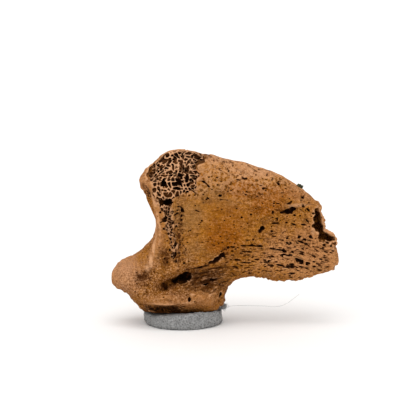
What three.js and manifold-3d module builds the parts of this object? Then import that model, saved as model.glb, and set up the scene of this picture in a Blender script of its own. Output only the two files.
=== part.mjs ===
// The fossil claw core of a cave bear: the last toe bone, resting on its flexor tubercle on a
// pressed pad of putty. The tip is broken off and hollow, and spongy bone shows where the
// collar at the joint end has worn away.
//
// Millimetres. +X runs from the joint end to the broken tip, +Z is up and +Y is across.
// The origin is the middle of the pad's underside.

import * as THREE from "three";
import { mergeVertices } from "three/addons/utils/BufferGeometryUtils.js";
import Module from "manifold-3d";

// ---- The bone's side outline -------------------------------------------------------------
// Clockwise, as [x, round, z]. The round is how far in from the edge the surface takes to reach
// the flat of the side: a small one makes a blunt edge and a large one a keel.

const EXTENSOR_PROCESS = [
  [-9.5, 3.0, 32.2],
  [-8.7, 3.2, 34.2],
  [-6.1, 4.0, 36.1],
  [-3.7, 4.5, 38.4],
  [-1.0, 5.0, 39.0],
  [1.5, 5.5, 38.9],
];
const DORSAL_RIDGE = [
  [4.6, 7.0, 38.3],
  [9.0, 8.0, 37.15],
  [14.0, 8.5, 35.95],
  [18.4, 8.5, 34.6],
  [22.4, 8.0, 32.6],
  [26.3, 7.0, 30.3],
];
const BROKEN_TIP = [
  [28.6, 3.4, 28.4],
  [30.2, 2.0, 26.6],
  [31.2, 1.8, 23.8],
  [31.7, 1.6, 21.5],
  [33.6, 1.6, 20.0],
  [34.2, 1.8, 17.0],
  [34.6, 2.0, 14.4],
  [34.0, 2.0, 13.0],
];
const PALMAR_EDGE = [
  [31.2, 2.4, 11.6],
  [27.4, 2.6, 10.2],
  [24.0, 2.8, 9.9],
  [18.5, 3.0, 10.1],
  [13.6, 3.0, 10.2],
  [11.3, 3.2, 9.2],
];
const FLEXOR_TUBERCLE = [
  [9.8, 3.6, 7.2],
  [8.8, 3.2, 4.6],
  [7.2, 2.8, 2.9],
  [3.4, 2.6, 2.2],
  [-2.6, 2.6, 2.1],
  [-6.8, 2.8, 2.3],
  [-9.2, 3.2, 3.4],
  [-10.9, 3.6, 5.3],
];
const PALMAR_LIP = [
  [-12.1, 4.4, 6.8],
  [-14.6, 5.8, 8.2],
  [-15.9, 6.6, 10.0],
  [-15.5, 6.8, 12.0],
  [-13.5, 6.2, 14.0],
  [-10.6, 5.0, 15.6],
];
const JOINT_FACET = [
  [-8.3, 3.4, 17.6],
  [-6.6, 1.8, 19.6],
  [-5.85, 1.3, 22.3],
  [-6.4, 1.3, 24.4],
  [-7.6, 1.7, 27.2],
  [-8.7, 2.4, 29.8],
];
const OUTLINE = [
  ...EXTENSOR_PROCESS,
  ...DORSAL_RIDGE,
  ...BROKEN_TIP,
  ...PALMAR_EDGE,
  ...FLEXOR_TUBERCLE,
  ...PALMAR_LIP,
  ...JOINT_FACET,
];

// ---- The bone's thickness ----------------------------------------------------------------
// Half the thickness across the flat of the sides, as [x, half thickness].
const HALF_THICKNESS = [
  [-16, 6.2],
  [-9, 6.6],
  [-5.5, 6.4],
  [-2, 5.8],
  [2, 5.2],
  [8, 4.7],
  [16, 4.2],
  [24, 3.7],
  [35.0, 2.9],
];
// Swells and hollows of both sides: their middle as [x, z], how far they reach along and
// across, their turn in degrees from +X towards +Z, and their rise, negative in a hollow.
const RELIEF = {
  jointRim: { at: [-5.4, 22.0], reach: [1.6, 6.0], turn: 2, rise: 1.0 },
  extensorKnob: { at: [-9.4, 33.0], reach: [2.4, 4.0], turn: 0, rise: -1.8 },
  knobHollow: { at: [-7.8, 29.0], reach: [0.9, 2.0], turn: 12, rise: -1.5 },
  wornCollar: { at: [-0.5, 33.5], reach: [4.5, 4.5], turn: 0, rise: -0.5 },
  brokenCrest: { at: [-1.4, 20.0], reach: [1.1, 9.0], turn: 0, rise: 0.35 },
  flankHollow: { at: [-4.0, 15.6], reach: [1.4, 2.6], turn: 12, rise: -0.8 },
  lipFossa: { at: [-9.8, 10.8], reach: [2.4, 1.6], turn: 14, rise: -1.1 },
  foramenTrench: { at: [-1.6, 10.6], reach: [4.8, 1.5], turn: 24, rise: -1.6 },
  vesselTrench: { at: [6.4, 13.0], reach: [5.0, 0.9], turn: 22, rise: -0.7 },
  fossaFloor: { at: [4.2, 9.4], reach: [4.6, 1.5], turn: 4, rise: -1.8 },
  tubercleFlank: { at: [1.2, 6.2], reach: [7.6, 1.8], turn: 0, rise: 2.6 },
  tubercleFoot: { at: [-4.4, 3.5], reach: [4.8, 1.2], turn: 0, rise: -1.5 },
  tubercleKnob: { at: [-5.6, 6.6], reach: [2.2, 1.3], turn: -10, rise: 0.5 },
  bladeBelly: { at: [14.0, 18.5], reach: [15.0, 7.5], turn: -6, rise: 0.9 },
};

// ---- What is cut out of the bone ---------------------------------------------------------
// Each hollow's middle as [x, z] and how far it lies from the middle plane, its half sizes
// along, into and across, and its turn in degrees from +X towards +Z.
const BOTH_SIDES = {
  jointCheek: { at: [-10.6, 24.4], from: 3.7, half: [5.6, 3.6, 8.6], turn: 4, segments: [20, 12] },
  foramen: { at: [-0.4, 10.9], from: 5.2, half: [2.9, 2.8, 0.95], turn: 25 },
  foramenMouth: { at: [-3.5, 9.8], from: 5.8, half: [1.5, 1.5, 1.0], turn: 24 },
};
// The right side, towards -Y, is the worn and broken one.
const WORN_SIDE = {
  brokenWall: { at: [33.0, 22.9], from: 3.6, half: [4.6, 3.0, 3.9], turn: 0 },
  lensPit: { at: [23.5, 26.0], from: 4.0, half: [2.1, 0.9, 0.6], turn: 12 },
  bigPore: { at: [17.4, 22.0], from: 5.0, half: [0.8, 1.0, 0.6], turn: 20 },
  vesselSlit: { at: [7.5, 15.3], from: 5.2, half: [2.8, 0.7, 0.5], turn: 38 },
  upperNick: { at: [12.8, 32.9], from: 3.7, half: [1.9, 0.7, 0.4], turn: 4 },
  fossaNick: { at: [6.2, 8.2], from: 5.2, half: [0.9, 0.9, 0.5], turn: 10 },
};
const MARROW = [
  { at: [28.7, 23.6], from: 0.6, half: [2.7, 1.7, 1.5], turn: 70 },
  { at: [31.0, 20.9], from: 0.4, half: [2.6, 1.4, 1.2], turn: -40 },
];
// The biggest cells of the spongy patch, as [x, z, half size].
const SPONGY_CELLS = [
  [-4.0, 32.2, 0.8],
  [-1.8, 32.4, 0.9],
  [-0.4, 31.6, 0.9],
  [-3.0, 28.3, 0.9],
  [-4.6, 27.8, 0.7],
  [-4.6, 26.3, 0.5],
  [-3.8, 24.2, 0.6],
  [-2.1, 35.0, 0.7],
  [-4.2, 35.6, 0.7],
  [0.0, 35.4, 0.7],
  [0.9, 33.2, 0.7],
  [-1.6, 37.4, 0.6],
  [4.3, 37.5, 0.8],
  [-2.9, 21.0, 0.5],
  [-2.2, 18.2, 0.5],
  [-1.9, 16.0, 0.5],
];
const CELL_DEPTH = 0.8; // as a share of the cell's half size
// The longest slots of the lower blade, as [x, z, half length].
const SLOTS = [
  [15.4, 18.3, 2.2],
  [20.2, 17.5, 2.0],
  [24.6, 16.6, 1.8],
  [25.9, 14.8, 1.4],
  [18.4, 14.6, 1.0],
  [21.6, 13.8, 1.0],
  [20.5, 23.3, 1.0],
  [28.6, 19.6, 0.9],
];
const SLOT_HALF_HEIGHT = 0.3;
const SLOT_DEPTH = 0.5;
const SLOT_TURN = -8;

// ---- The putty pad -----------------------------------------------------------------------
const PAD_RADIUS = 8.6;
const PAD_HEIGHT = 3.1;
const PAD_EDGE_ROUND = 0.7;
const PAD_EDGE_STEPS = 2; // half the steps round each edge
const PAD_SIDES = 44;
const PAD_UNEVENNESS = 0.22; // how far the hand-pressed rim strays from a circle
// The rim's waves as [waves round, share of the unevenness, phase].
const PAD_WAVES = [
  [1, -0.5, 1.6],
  [2, 0.9, 1.2],
  [3, 0.3, 2.0],
];
const SEAT_GAP = 0.3; // from the pad's top to the flat that the tubercle rests on
const SEAT_CUT = [80, 40, 20]; // the block that cuts that flat, wider than the bone

// ---- The fineness of the faces -----------------------------------------------------------
const AROUND = 84; // steps round the outline
const ACROSS = 30; // steps from the middle of one side over the edge to the other's
const CUT_SEGMENTS = [10, 7]; // round and across a hollow that states no segments
const SIDE_MIDDLE = [1.0, 17.0];

const wasm = await Module();
wasm.setup();

const outline = new THREE.CatmullRomCurve3(
  OUTLINE.map((point) => new THREE.Vector3(...point)),
  true,
  "centripetal",
);
const edge = outline.getSpacedPoints(4 * AROUND);

function thicknessAt(x) {
  const next = HALF_THICKNESS.findIndex(([at]) => at >= x);
  const [x1, y1] = HALF_THICKNESS[next];
  const [x0, y0] = HALF_THICKNESS[next - 1];
  return THREE.MathUtils.mapLinear(x, x0, x1, y0, y1);
}

// How far in from the edge a point of the side lies, as a share of the edge's round there.
function inset(x, z) {
  let least = Infinity;
  for (let i = 1; i < edge.length; i++) {
    const step = new THREE.Vector2(edge[i].x - edge[i - 1].x, edge[i].z - edge[i - 1].z);
    const away = new THREE.Vector2(x - edge[i - 1].x, z - edge[i - 1].z);
    const share = THREE.MathUtils.clamp(away.dot(step) / step.lengthSq(), 0, 1);
    const round = THREE.MathUtils.lerp(edge[i - 1].y, edge[i].y, share);
    least = Math.min(least, away.addScaledVector(step, -share).length() / round);
  }
  return least;
}

function riseAt({ at, reach, turn, rise }, x, z) {
  const away = new THREE.Vector2(x - at[0], z - at[1]);
  away.rotateAround(new THREE.Vector2(), -THREE.MathUtils.degToRad(turn));
  return rise * Math.exp(-((away.x / reach[0]) ** 2) - (away.y / reach[1]) ** 2);
}

function halfThickness(x, z) {
  const swells = Object.values(RELIEF).map((swell) => riseAt(swell, x, z));
  const flat = swells.reduce((sum, rise) => sum + rise, thicknessAt(x));
  const left = 1 - Math.min(inset(x, z), 1);
  return flat * Math.sqrt(1 - left ** 2);
}

// A sphere whose poles are the middles of the two sides, drawn out to the outline.
function boneSkin() {
  const skin = new THREE.SphereGeometry(1, AROUND, ACROSS);
  const { position, uv } = skin.attributes;
  for (let i = 0; i < position.count; i++) {
    const rim = outline.getPointAt(THREE.MathUtils.euclideanModulo(uv.getX(i), 1));
    const polar = (1 - uv.getY(i)) * Math.PI;
    const out = Math.sin(polar);
    const x = THREE.MathUtils.lerp(SIDE_MIDDLE[0], rim.x, out);
    const z = THREE.MathUtils.lerp(SIDE_MIDDLE[1], rim.z, out);
    const onRim = Math.abs(Math.cos(polar)) < 1e-6;
    position.setXYZ(i, x, onRim ? 0 : Math.sign(Math.cos(polar)) * halfThickness(x, z), z);
  }
  return skin;
}

function solid(geometry) {
  const bare = new THREE.BufferGeometry();
  bare.setAttribute("position", geometry.getAttribute("position"));
  bare.setIndex(geometry.index);
  const merged = mergeVertices(bare, 1e-4);
  return new wasm.Manifold(
    new wasm.Mesh({
      numProp: 3,
      vertProperties: merged.attributes.position.array,
      triVerts: new Uint32Array(merged.index.array),
    }),
  );
}

function hollow({ at, from, half, turn, segments = CUT_SEGMENTS }, side) {
  const shape = new THREE.SphereGeometry(1, ...segments);
  shape.scale(...half);
  shape.rotateY(-THREE.MathUtils.degToRad(turn));
  shape.translate(at[0], side * from, at[1]);
  return solid(shape);
}

const LEFT = 1;
const RIGHT = -1;

function cuts() {
  const made = MARROW.map((shape) => hollow(shape, RIGHT));
  for (const shape of Object.values(BOTH_SIDES)) {
    made.push(hollow(shape, LEFT), hollow(shape, RIGHT));
  }
  for (const shape of Object.values(WORN_SIDE)) {
    made.push(hollow(shape, RIGHT));
  }
  for (const [x, z, size] of SPONGY_CELLS) {
    const half = [size, CELL_DEPTH * size, size];
    const cell = { at: [x, z], from: halfThickness(x, z), half, turn: 0, segments: [8, 6] };
    made.push(hollow(cell, RIGHT));
  }
  for (const [x, z, length] of SLOTS) {
    const half = [length, SLOT_DEPTH, SLOT_HALF_HEIGHT];
    const from = halfThickness(x, z);
    const slot = { at: [x, z], from, half, turn: SLOT_TURN, segments: [8, 4] };
    made.push(hollow(slot, RIGHT));
  }
  return made;
}

function seatBlock() {
  const block = new THREE.BoxGeometry(...SEAT_CUT);
  block.translate(0, 0, PAD_HEIGHT + SEAT_GAP - SEAT_CUT[2] / 2);
  return solid(block);
}

function boneGeometry() {
  const cutters = [...cuts(), seatBlock()];
  const bone = cutters.reduce((left, cutter) => left.subtract(cutter), solid(boneSkin()));
  const { vertProperties, triVerts } = bone.getMesh();
  const geometry = new THREE.BufferGeometry();
  geometry.setAttribute("position", new THREE.BufferAttribute(vertProperties, 3));
  geometry.setIndex(new THREE.BufferAttribute(triVerts, 1));
  geometry.computeVertexNormals();
  return geometry;
}

function padGeometry() {
  const round = PAD_EDGE_ROUND;
  const profile = new THREE.Path();
  profile.moveTo(0, 0);
  profile.lineTo(PAD_RADIUS - round, 0);
  profile.absarc(PAD_RADIUS - round, round, round, -Math.PI / 2, 0, false);
  profile.absarc(PAD_RADIUS - round, PAD_HEIGHT - round, round, 0, Math.PI / 2, false);
  profile.lineTo(0, PAD_HEIGHT);
  const pad = new THREE.LatheGeometry(profile.getPoints(PAD_EDGE_STEPS), PAD_SIDES);
  pad.rotateX(Math.PI / 2);
  const { position } = pad.attributes;
  for (let i = 0; i < position.count; i++) {
    const x = position.getX(i);
    const y = position.getY(i);
    const angle = Math.atan2(y, x);
    const wave = (sum, [count, share, phase]) => sum + share * Math.sin(count * angle + phase);
    const scale = 1 + (PAD_UNEVENNESS / PAD_RADIUS) * PAD_WAVES.reduce(wave, 0);
    position.setXYZ(i, x * scale, y * scale, position.getZ(i));
  }
  return pad;
}

const claw = new THREE.Mesh(
  boneGeometry(),
  new THREE.MeshStandardMaterial({ color: 0xa8703f, roughness: 0.62, metalness: 0 }),
);
claw.name = "claw_core";

const pad = new THREE.Mesh(
  padGeometry(),
  new THREE.MeshStandardMaterial({ color: 0x8e9192, roughness: 0.8, metalness: 0 }),
);
pad.name = "putty_pad";

const group = new THREE.Group();
group.add(claw, pad);
export default group;
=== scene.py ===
"""The fossil claw core of a cave bear, resting on a pressed pad of putty."""

import math

import bpy
import numpy as np
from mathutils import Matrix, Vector


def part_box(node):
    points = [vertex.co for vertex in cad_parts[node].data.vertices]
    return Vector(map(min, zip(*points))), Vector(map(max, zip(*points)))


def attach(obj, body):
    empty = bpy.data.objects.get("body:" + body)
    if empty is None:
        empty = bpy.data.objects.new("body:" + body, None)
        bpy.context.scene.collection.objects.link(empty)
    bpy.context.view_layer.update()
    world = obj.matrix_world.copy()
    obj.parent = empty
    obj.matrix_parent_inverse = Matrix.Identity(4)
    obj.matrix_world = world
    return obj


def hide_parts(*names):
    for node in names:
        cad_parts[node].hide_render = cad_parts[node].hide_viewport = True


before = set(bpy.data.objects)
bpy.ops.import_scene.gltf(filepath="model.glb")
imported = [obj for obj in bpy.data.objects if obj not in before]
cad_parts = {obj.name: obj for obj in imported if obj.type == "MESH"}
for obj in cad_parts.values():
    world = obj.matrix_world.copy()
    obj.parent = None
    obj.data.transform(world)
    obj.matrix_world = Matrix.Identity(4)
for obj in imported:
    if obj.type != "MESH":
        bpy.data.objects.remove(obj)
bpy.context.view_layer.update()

bl_info = {
    "name": "Fossil claw",
    "version": (1, 0, 0),
    "blender": (4, 5, 0),
    "location": "View3D > Sidebar > Fossil claw",
    "description": "Sculpts a broken fossil claw core, the putty pad under it and a small studio",
    "category": "Add Mesh",
}

MM = 0.001
BODY = "root"

# ---- The bone's form, in millimetres -----------------------------------------------------
# The same outline, thickness and hollows as the solid, where +X runs to the broken tip, +Z is
# up and the worn side faces -Y.

# The side outline as (x, round, z). The round is how far in from the edge the surface takes
# to reach the flat of the side.
OUTLINE = [
    # extensor process
    (-9.5, 3, 32.2), (-8.1, 3.2, 34.7), (-6.1, 3.6, 36.4), (-4, 4, 38.25), (-1.8, 4.4, 38.95),
    (1.5, 4.8, 38.85),
    # dorsal ridge
    (4.6, 6, 38.3), (9, 8, 37.15), (14, 8.5, 35.95), (18.4, 8.5, 34.6), (22.4, 8, 32.6),
    (26.3, 7, 30.3),
    # broken tip
    (28.6, 3.4, 28.4), (30.2, 2, 26.6), (31.2, 1.8, 23.8), (31.7, 1.6, 21.5), (33.6, 1.6, 20),
    (34.2, 1.8, 17), (34.6, 2, 14.4), (34, 2, 13),
    # palmar edge
    (31.2, 2.4, 11.6), (27.4, 2.6, 10.05), (24, 2.8, 9.55), (18.5, 3, 10.1), (13.6, 3, 10.2),
    (11.3, 3.2, 9.2),
    # flexor tubercle
    (9.8, 3.6, 7.2), (8.8, 3.2, 4.6), (7.2, 2.8, 2.9), (3.4, 2.6, 2.2), (-2.6, 2.6, 2.1),
    (-6.8, 2.8, 2.3), (-9.2, 3.2, 3.4), (-10.9, 3.6, 5.3),
    # palmar lip of the joint
    (-12.1, 4.4, 6.8), (-14.6, 5.8, 8.2), (-15.9, 6.6, 10), (-15.5, 6.8, 12), (-13.5, 6.2, 14),
    (-10.6, 5, 15.6),
    # joint facet
    (-8.3, 3.4, 17.6), (-6.6, 1.8, 19.6), (-5.85, 1.3, 22.3), (-6.4, 1.3, 24.4), (-7.6, 1.7, 27.2),
    (-8.95, 2.4, 29.8),
]
CURVE_STEPS = 8  # straight steps between two points of an outline

# Half the thickness across the flat of the sides, at places along x.
THICKNESS_AT = (-16, -9, -5.5, -2, 2, 8, 16, 24, 35)
HALF_THICKNESS = (6.2, 6.6, 6.4, 5.8, 5.2, 4.7, 4.2, 3.7, 2.9)

# Swells and hollows as ((x, z), reach along and across, turn in degrees, rise), negative for a
# hollow.
BOTH_SIDES_RELIEF = [
    # joint rim, extensor knob and its hollow, worn collar, broken crest, flank hollow, lip fossa
    ((-5.4, 22), (1.6, 6), 2, 1), ((-9.4, 33), (2.4, 4), 0, -1.8),
    ((-7.6, 28.9), (0.9, 1.8), 12, -1.9), ((-0.5, 33.5), (4.5, 4.5), 0, -0.5),
    ((-1.4, 20), (1.1, 9), 0, 0.35), ((-4, 15.6), (1.4, 2.6), 12, -0.8),
    ((-9.4, 11.4), (2, 1.4), 35, -1.5),
    # trenches of the foramen and of the vessel, wrinkled hollow
    ((-1.6, 10.6), (4.8, 1.5), 24, -1.6), ((6.4, 13), (5, 0.9), 22, -0.7),
    ((4.6, 10.2), (5, 1.7), 10, -1.6),
    # tubercle's flanks, foot and knob, then the blade's belly
    ((-3.6, 6.2), (4.6, 1.9), 0, 1.9), ((3.6, 6.5), (4.6, 2.1), 0, 2.2),
    ((-4.8, 4.3), (4.8, 1.35), -6, -2.1), ((-5.6, 6.6), (2.2, 1.3), -10, 0.2),
    ((14, 18.5), (15, 7.5), -6, 0.9),
]
WORN_SIDE_RELIEF = [
    # bulge on the tubercle, lip of the foramen, dent and rise on the blade
    ((-4.6, 7), (2.4, 1.4), -6, 0.4), ((-3.2, 12.6), (3.6, 0.7), 24, 0.45),
    ((6.5, 20.5), (3.6, 5), 10, -0.25), ((12, 29), (6, 3), -20, 0.2),
    # rise and dip along the crack, ridge and dip at the lens pit
    ((20, 19), (8, 1.5), -6, 0.2), ((21, 15.6), (8, 1.2), -7, -0.25),
    ((24.4, 27.5), (3.4, 0.8), 8, 0.4), ((23.6, 25.8), (2.8, 0.7), 10, -0.35),
    # grooves by the foramen
    ((4.6, 12.1), (4.6, 0.28), 10, -0.5), ((7.6, 13.2), (5, 0.26), 6, -0.45),
    ((4.4, 11.2), (3.6, 0.26), 12, -0.45), ((5.6, 10.2), (3, 0.26), 16, -0.4),
    # edges of the joint, of the bulge and of the tubercle's ledge
    ((-6.5, 18.6), (5.2, 0.34), 79, 0.5), ((-4.2, 6), (2.8, 0.4), 0, 0.6),
    ((3, 8), (4.6, 0.5), -2, 0.7),
]
WHOLE_SIDE_RELIEF = [
    # bulge on the tubercle, dent, rise at the root, vessel groove and the rise along it
    ((-4.2, 6.2), (3.2, 1.3), 8, 0.3), ((9, 24), (5, 3.6), -20, -0.3),
    ((3, 30), (2.4, 5), 10, 0.35), ((14, 15), (8, 0.7), -8, -0.4),
    ((16, 17.4), (9, 1.3), -8, 0.25),
]

# Deep hollows as ((x, z), distance from the middle plane, half sizes along, into and across, turn).
JOINT_WALL = 0.55  # the least bone left behind a cheek
JOINT_CHEEK = ((-10.6, 24.4), 3.7, (5.6, 3.6, 8.6), 4)
FORAMINA = [
    ((0.7, 11.5), 5.2, (1.4, 4.4, 0.8), 12), ((-0.5, 10.9), 5.2, (1.4, 4.4, 1.1), 30),
    ((-1.5, 10.3), 5.2, (1.1, 4, 0.85), 30), ((-3.1, 9.9), 5.6, (1.6, 1.4, 0.8), 26),
]
KNOB_NOTCH = [((-7.5, 29.2), 4.8, (0.55, 2.4, 1.1), 22)]
MARROW = [
    ((29.2, 24.1), 0.3, (1.9, 1.9, 0.95), 96), ((29.9, 21.9), 0.3, (1.7, 2, 0.95), -60),
    ((30.9, 20.2), 0.2, (1.9, 1.8, 1.15), -42), ((32.3, 19.3), 0.2, (1.4, 1.3, 0.95), -30),
]
# Hollows in the sides as ((x, z), half sizes along, into and across, turn).
WORN_SIDE_HOLLOWS = [
    # lens pit, and the slit over it
    ((22.8, 25.6), (1.4, 0.8, 0.62), 8), ((24.2, 26.2), (1.4, 0.6, 0.32), 18),
    ((23.4, 27.6), (0.8, 0.5, 0.22), 26),
    # big pore
    ((17.6, 22.1), (0.72, 0.9, 0.58), 10), ((17, 21.7), (0.7, 0.6, 0.4), 30),
    # vessel slit
    ((5, 13.9), (1.5, 0.28, 0.26), 18), ((6.4, 14.5), (1.2, 0.36, 0.44), 28),
    ((7.6, 15.3), (1.2, 0.4, 0.52), 38), ((8.7, 16.4), (1.2, 0.38, 0.48), 48),
    ((9.5, 17.4), (1, 0.34, 0.4), 54), ((2.4, 13.2), (2.4, 0.26, 0.16), 11),
    # nicks high on the blade, on the tubercle and in the wrinkled hollow
    ((13.8, 32.8), (0.7, 0.5, 0.2), -6), ((13.2, 33.1), (0.5, 0.5, 0.2), -52),
    ((12, 32.7), (0.6, 0.5, 0.2), -8), ((1.4, 6.9), (0.4, 0.6, 0.55), 0),
    ((5.2, 9.6), (0.8, 0.4, 0.3), 34), ((6.6, 10.6), (0.7, 0.4, 0.3), 20),
    ((8.3, 7), (0.4, 0.8, 0.8), 12),
    # crack, and the long pit under it
    ((15.4, 18.3), (2.6, 0.5, 0.15), -3), ((20.2, 17.5), (2.4, 0.5, 0.16), -9),
    ((24.6, 16.6), (2.2, 0.5, 0.15), -11), ((25.9, 14.8), (1.4, 0.7, 0.36), -22),
    # scratches
    ((4.6, 32.3), (0.9, 0.2, 0.09), -40), ((5.3, 31.9), (1, 0.2, 0.1), -46),
    ((6.4, 32.1), (0.7, 0.2, 0.09), -60), ((8.8, 28.5), (1, 0.25, 0.1), -3),
    ((3.5, 26), (1, 0.25, 0.11), -22), ((18.9, 27.3), (0.5, 0.2, 0.1), -52),
    ((13.8, 29.6), (1.3, 0.18, 0.09), -16), ((3, 29.9), (0.9, 0.2, 0.1), -34),
]
WHOLE_SIDE_HOLLOWS = [
    ((12, 15.4), (3.2, 0.5, 0.3), -8), ((18.6, 14.6), (2.4, 0.5, 0.24), -10),
    ((9, 21), (0.6, 0.8, 0.45), 30), ((15.4, 29.6), (0.8, 0.6, 0.3), -16),
    ((24, 19), (0.6, 0.6, 0.4), 0), ((4.6, 12.6), (2, 0.7, 0.36), 30),
]
# The worn side's larger pores, as (x, z, half sizes along and across, turn).
WORN_SIDE_PORES = [
    (8.2, 29.4, 0.42, 0.28, -6), (5.5, 28.9, 0.42, 0.16, -40), (21, 31.6, 0.34, 0.34, 0),
    (17.6, 30.7, 0.32, 0.22, 0), (26.3, 28.6, 0.38, 0.34, 0), (27.7, 27.6, 0.2, 0.2, 0),
    (26.4, 26.7, 0.4, 0.3, -20), (27.5, 26, 0.5, 0.22, -45), (28.6, 25.2, 0.3, 0.24, 0),
    (24.5, 24.9, 0.3, 0.22, -10), (25.7, 24.8, 0.26, 0.2, -10), (20.8, 27.5, 0.5, 0.14, 0),
    (19.7, 25.7, 0.26, 0.26, 0), (20.7, 24, 0.5, 0.18, 80), (20.3, 23.2, 0.95, 0.2, 2),
    (22.7, 23.3, 0.4, 0.26, -16), (24.4, 22.9, 0.66, 0.2, -20), (26.4, 22.8, 0.66, 0.24, -6),
    (27.3, 23.6, 0.62, 0.18, -48), (19.5, 21.5, 0.36, 0.22, 0), (22, 21.1, 0.34, 0.14, 40),
    (20, 20.3, 0.56, 0.16, 12), (22.9, 19.9, 0.32, 0.22, 12), (24, 19.5, 0.22, 0.18, 0),
    (25.4, 20, 0.3, 0.22, -10), (28.2, 19.8, 0.5, 0.2, -18), (30, 19.7, 0.56, 0.26, -50),
    (27.1, 18.5, 0.46, 0.24, -8), (31.1, 18.2, 0.36, 0.34, 0), (32.6, 18, 0.22, 0.32, 0),
    (21.6, 16.1, 0.4, 0.2, -8), (28.9, 15.6, 0.5, 0.2, -8), (30.4, 15, 0.5, 0.18, -12),
    (16.2, 15.2, 0.7, 0.2, 6), (18.4, 14.6, 0.8, 0.2, 0), (21.6, 13.8, 0.8, 0.22, -4),
    (24, 13.6, 0.6, 0.2, -6), (15.4, 19.8, 0.3, 0.24, 0), (12.9, 24.6, 0.28, 0.24, 0),
    (14.9, 25.2, 0.22, 0.22, 0), (4.2, 23.9, 0.26, 0.22, 0), (1.7, 21.8, 0.24, 0.2, 0),
    (-0.2, 25.1, 0.42, 0.26, 60), (-1.5, 25.5, 0.6, 0.22, 35), (-0.2, 24.2, 0.28, 0.26, 0),
    (-1.6, 18.9, 0.42, 0.24, 85), (-1.5, 16.7, 0.6, 0.2, 88), (-1.5, 15.1, 0.4, 0.2, 85),
    (-1.4, 22.8, 0.24, 0.18, 60), (-0.9, 22.1, 0.2, 0.16, 0), (-1.7, 20.7, 0.26, 0.18, 70),
    (-0.6, 21.1, 0.2, 0.15, 30), (-0.8, 23.5, 0.18, 0.16, 0), (-0.5, 19.7, 0.18, 0.15, 0),
    (-0.9, 18, 0.2, 0.15, 80), (5.2, 28.6, 0.24, 0.2, 0), (-4, 15.6, 0.22, 0.26, 0),
    (-3.4, 14.8, 0.24, 0.2, 0), (0.3, 14.6, 0.28, 0.2, 0), (-10.2, 8.4, 0.24, 0.2, 0),
    (-2.8, 17.6, 0.2, 0.36, 0), (-1.6, 18.6, 0.2, 0.5, 0), (-1.8, 16.2, 0.2, 0.5, 0),
]
# The biggest holes of the spongy bone, as ((x, z), half sizes along, into and across).
SPONGY_HOLES = [
    ((-4, 32.3), (0.62, 1.6, 0.76)), ((-1.6, 32.4), (1.3, 0.65, 1.1)),
    ((-0.6, 33.6), (0.7, 1.3, 0.4)), ((-1.3, 30.9), (0.85, 1.6, 0.4)),
    ((-3.1, 28.2), (0.9, 1.6, 0.6)), ((-4.7, 28), (0.42, 1.4, 0.5)),
    ((-4.8, 26.4), (0.28, 1, 0.4)), ((-1.2, 26.3), (0.5, 0.9, 0.26)),
    ((-0.2, 26.1), (0.3, 1.1, 0.4)), ((-3.7, 24.4), (0.24, 0.9, 0.34)),
    ((-1.7, 36.7), (0.28, 1.2, 0.4)), ((-1.8, 34.8), (0.62, 1.2, 0.36)),
    ((-0.4, 33.9), (0.5, 1.3, 0.34)), ((0.1, 35.5), (0.5, 0.9, 0.5)),
    ((1, 33.3), (0.34, 0.9, 0.9)), ((-5.7, 36.2), (0.34, 0.9, 0.34)),
    ((4.3, 37.4), (0.85, 0.9, 0.3)), ((-4.5, 37.2), (0.34, 3.2, 0.3)),
    ((-5.1, 36.4), (0.3, 3, 0.34)), ((-3.5, 38), (0.4, 2.6, 0.26)),
    ((-3.3, 36.9), (0.26, 3.2, 0.34)), ((-2.3, 37.6), (0.3, 3.2, 0.36)),
    ((-0.9, 38.4), (0.36, 2.6, 0.28)), ((0, 37.1), (0.42, 3, 0.32)),
    ((1.3, 38.2), (0.5, 2.6, 0.24)), ((2.4, 37.7), (0.3, 2.8, 0.3)),
    ((3.3, 37.5), (0.4, 2.4, 0.24)), ((4, 36.7), (0.5, 2.2, 0.26)),
    ((4.9, 37.2), (0.42, 1.8, 0.24)),
]

# Where the outer bone has gone and its spongy inside shows, as outlines in x and z.
WORN_PATCH = [
    (-6.9, 32.2), (-6.8, 36), (-5.4, 39.6), (-1.8, 41.2), (2.6, 41), (5.6, 39.8), (5.9, 37.8),
    (3.6, 36.3), (2.9, 35.2), (3.6, 33.4), (2.4, 30.8), (-0.6, 29.6), (-2.2, 28), (-2.4, 25.6),
    (-1.8, 24), (-2.2, 21.6), (-1.4, 19.4), (-1.9, 17), (-1.3, 14.8), (-2.2, 14.6), (-2.7, 18),
    (-3.4, 21.6), (-4.1, 24.2), (-5.3, 26.6), (-6.5, 29.4),
]
# Where the broken tip has lost the worn side's wall.
BROKEN_WALL = [
    (30.4, 26.6), (29.4, 26.1), (28.7, 25.1), (28.3, 23.9), (28.1, 22.6), (28.9, 21.2),
    (29.9, 19.8), (31.2, 18.7), (33, 18.5), (37, 19.2), (37, 26),
]
WHOLE_PATCH = [
    (-4.6, 35), (-2.8, 37.4), (0.2, 38.6), (1.8, 36.6), (0.6, 33), (-0.6, 29), (-0.9, 23),
    (-1.2, 16), (-2, 15.6), (-2.5, 20), (-3, 26), (-4.4, 31),
]
SEAT = 3.0  # the height at which the putty holds the bone's underside


def tint(name, description, default):
    """A colour that a user can change."""
    return bpy.props.FloatVectorProperty(
        name=name, description=description, subtype="COLOR", default=default
    )


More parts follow.
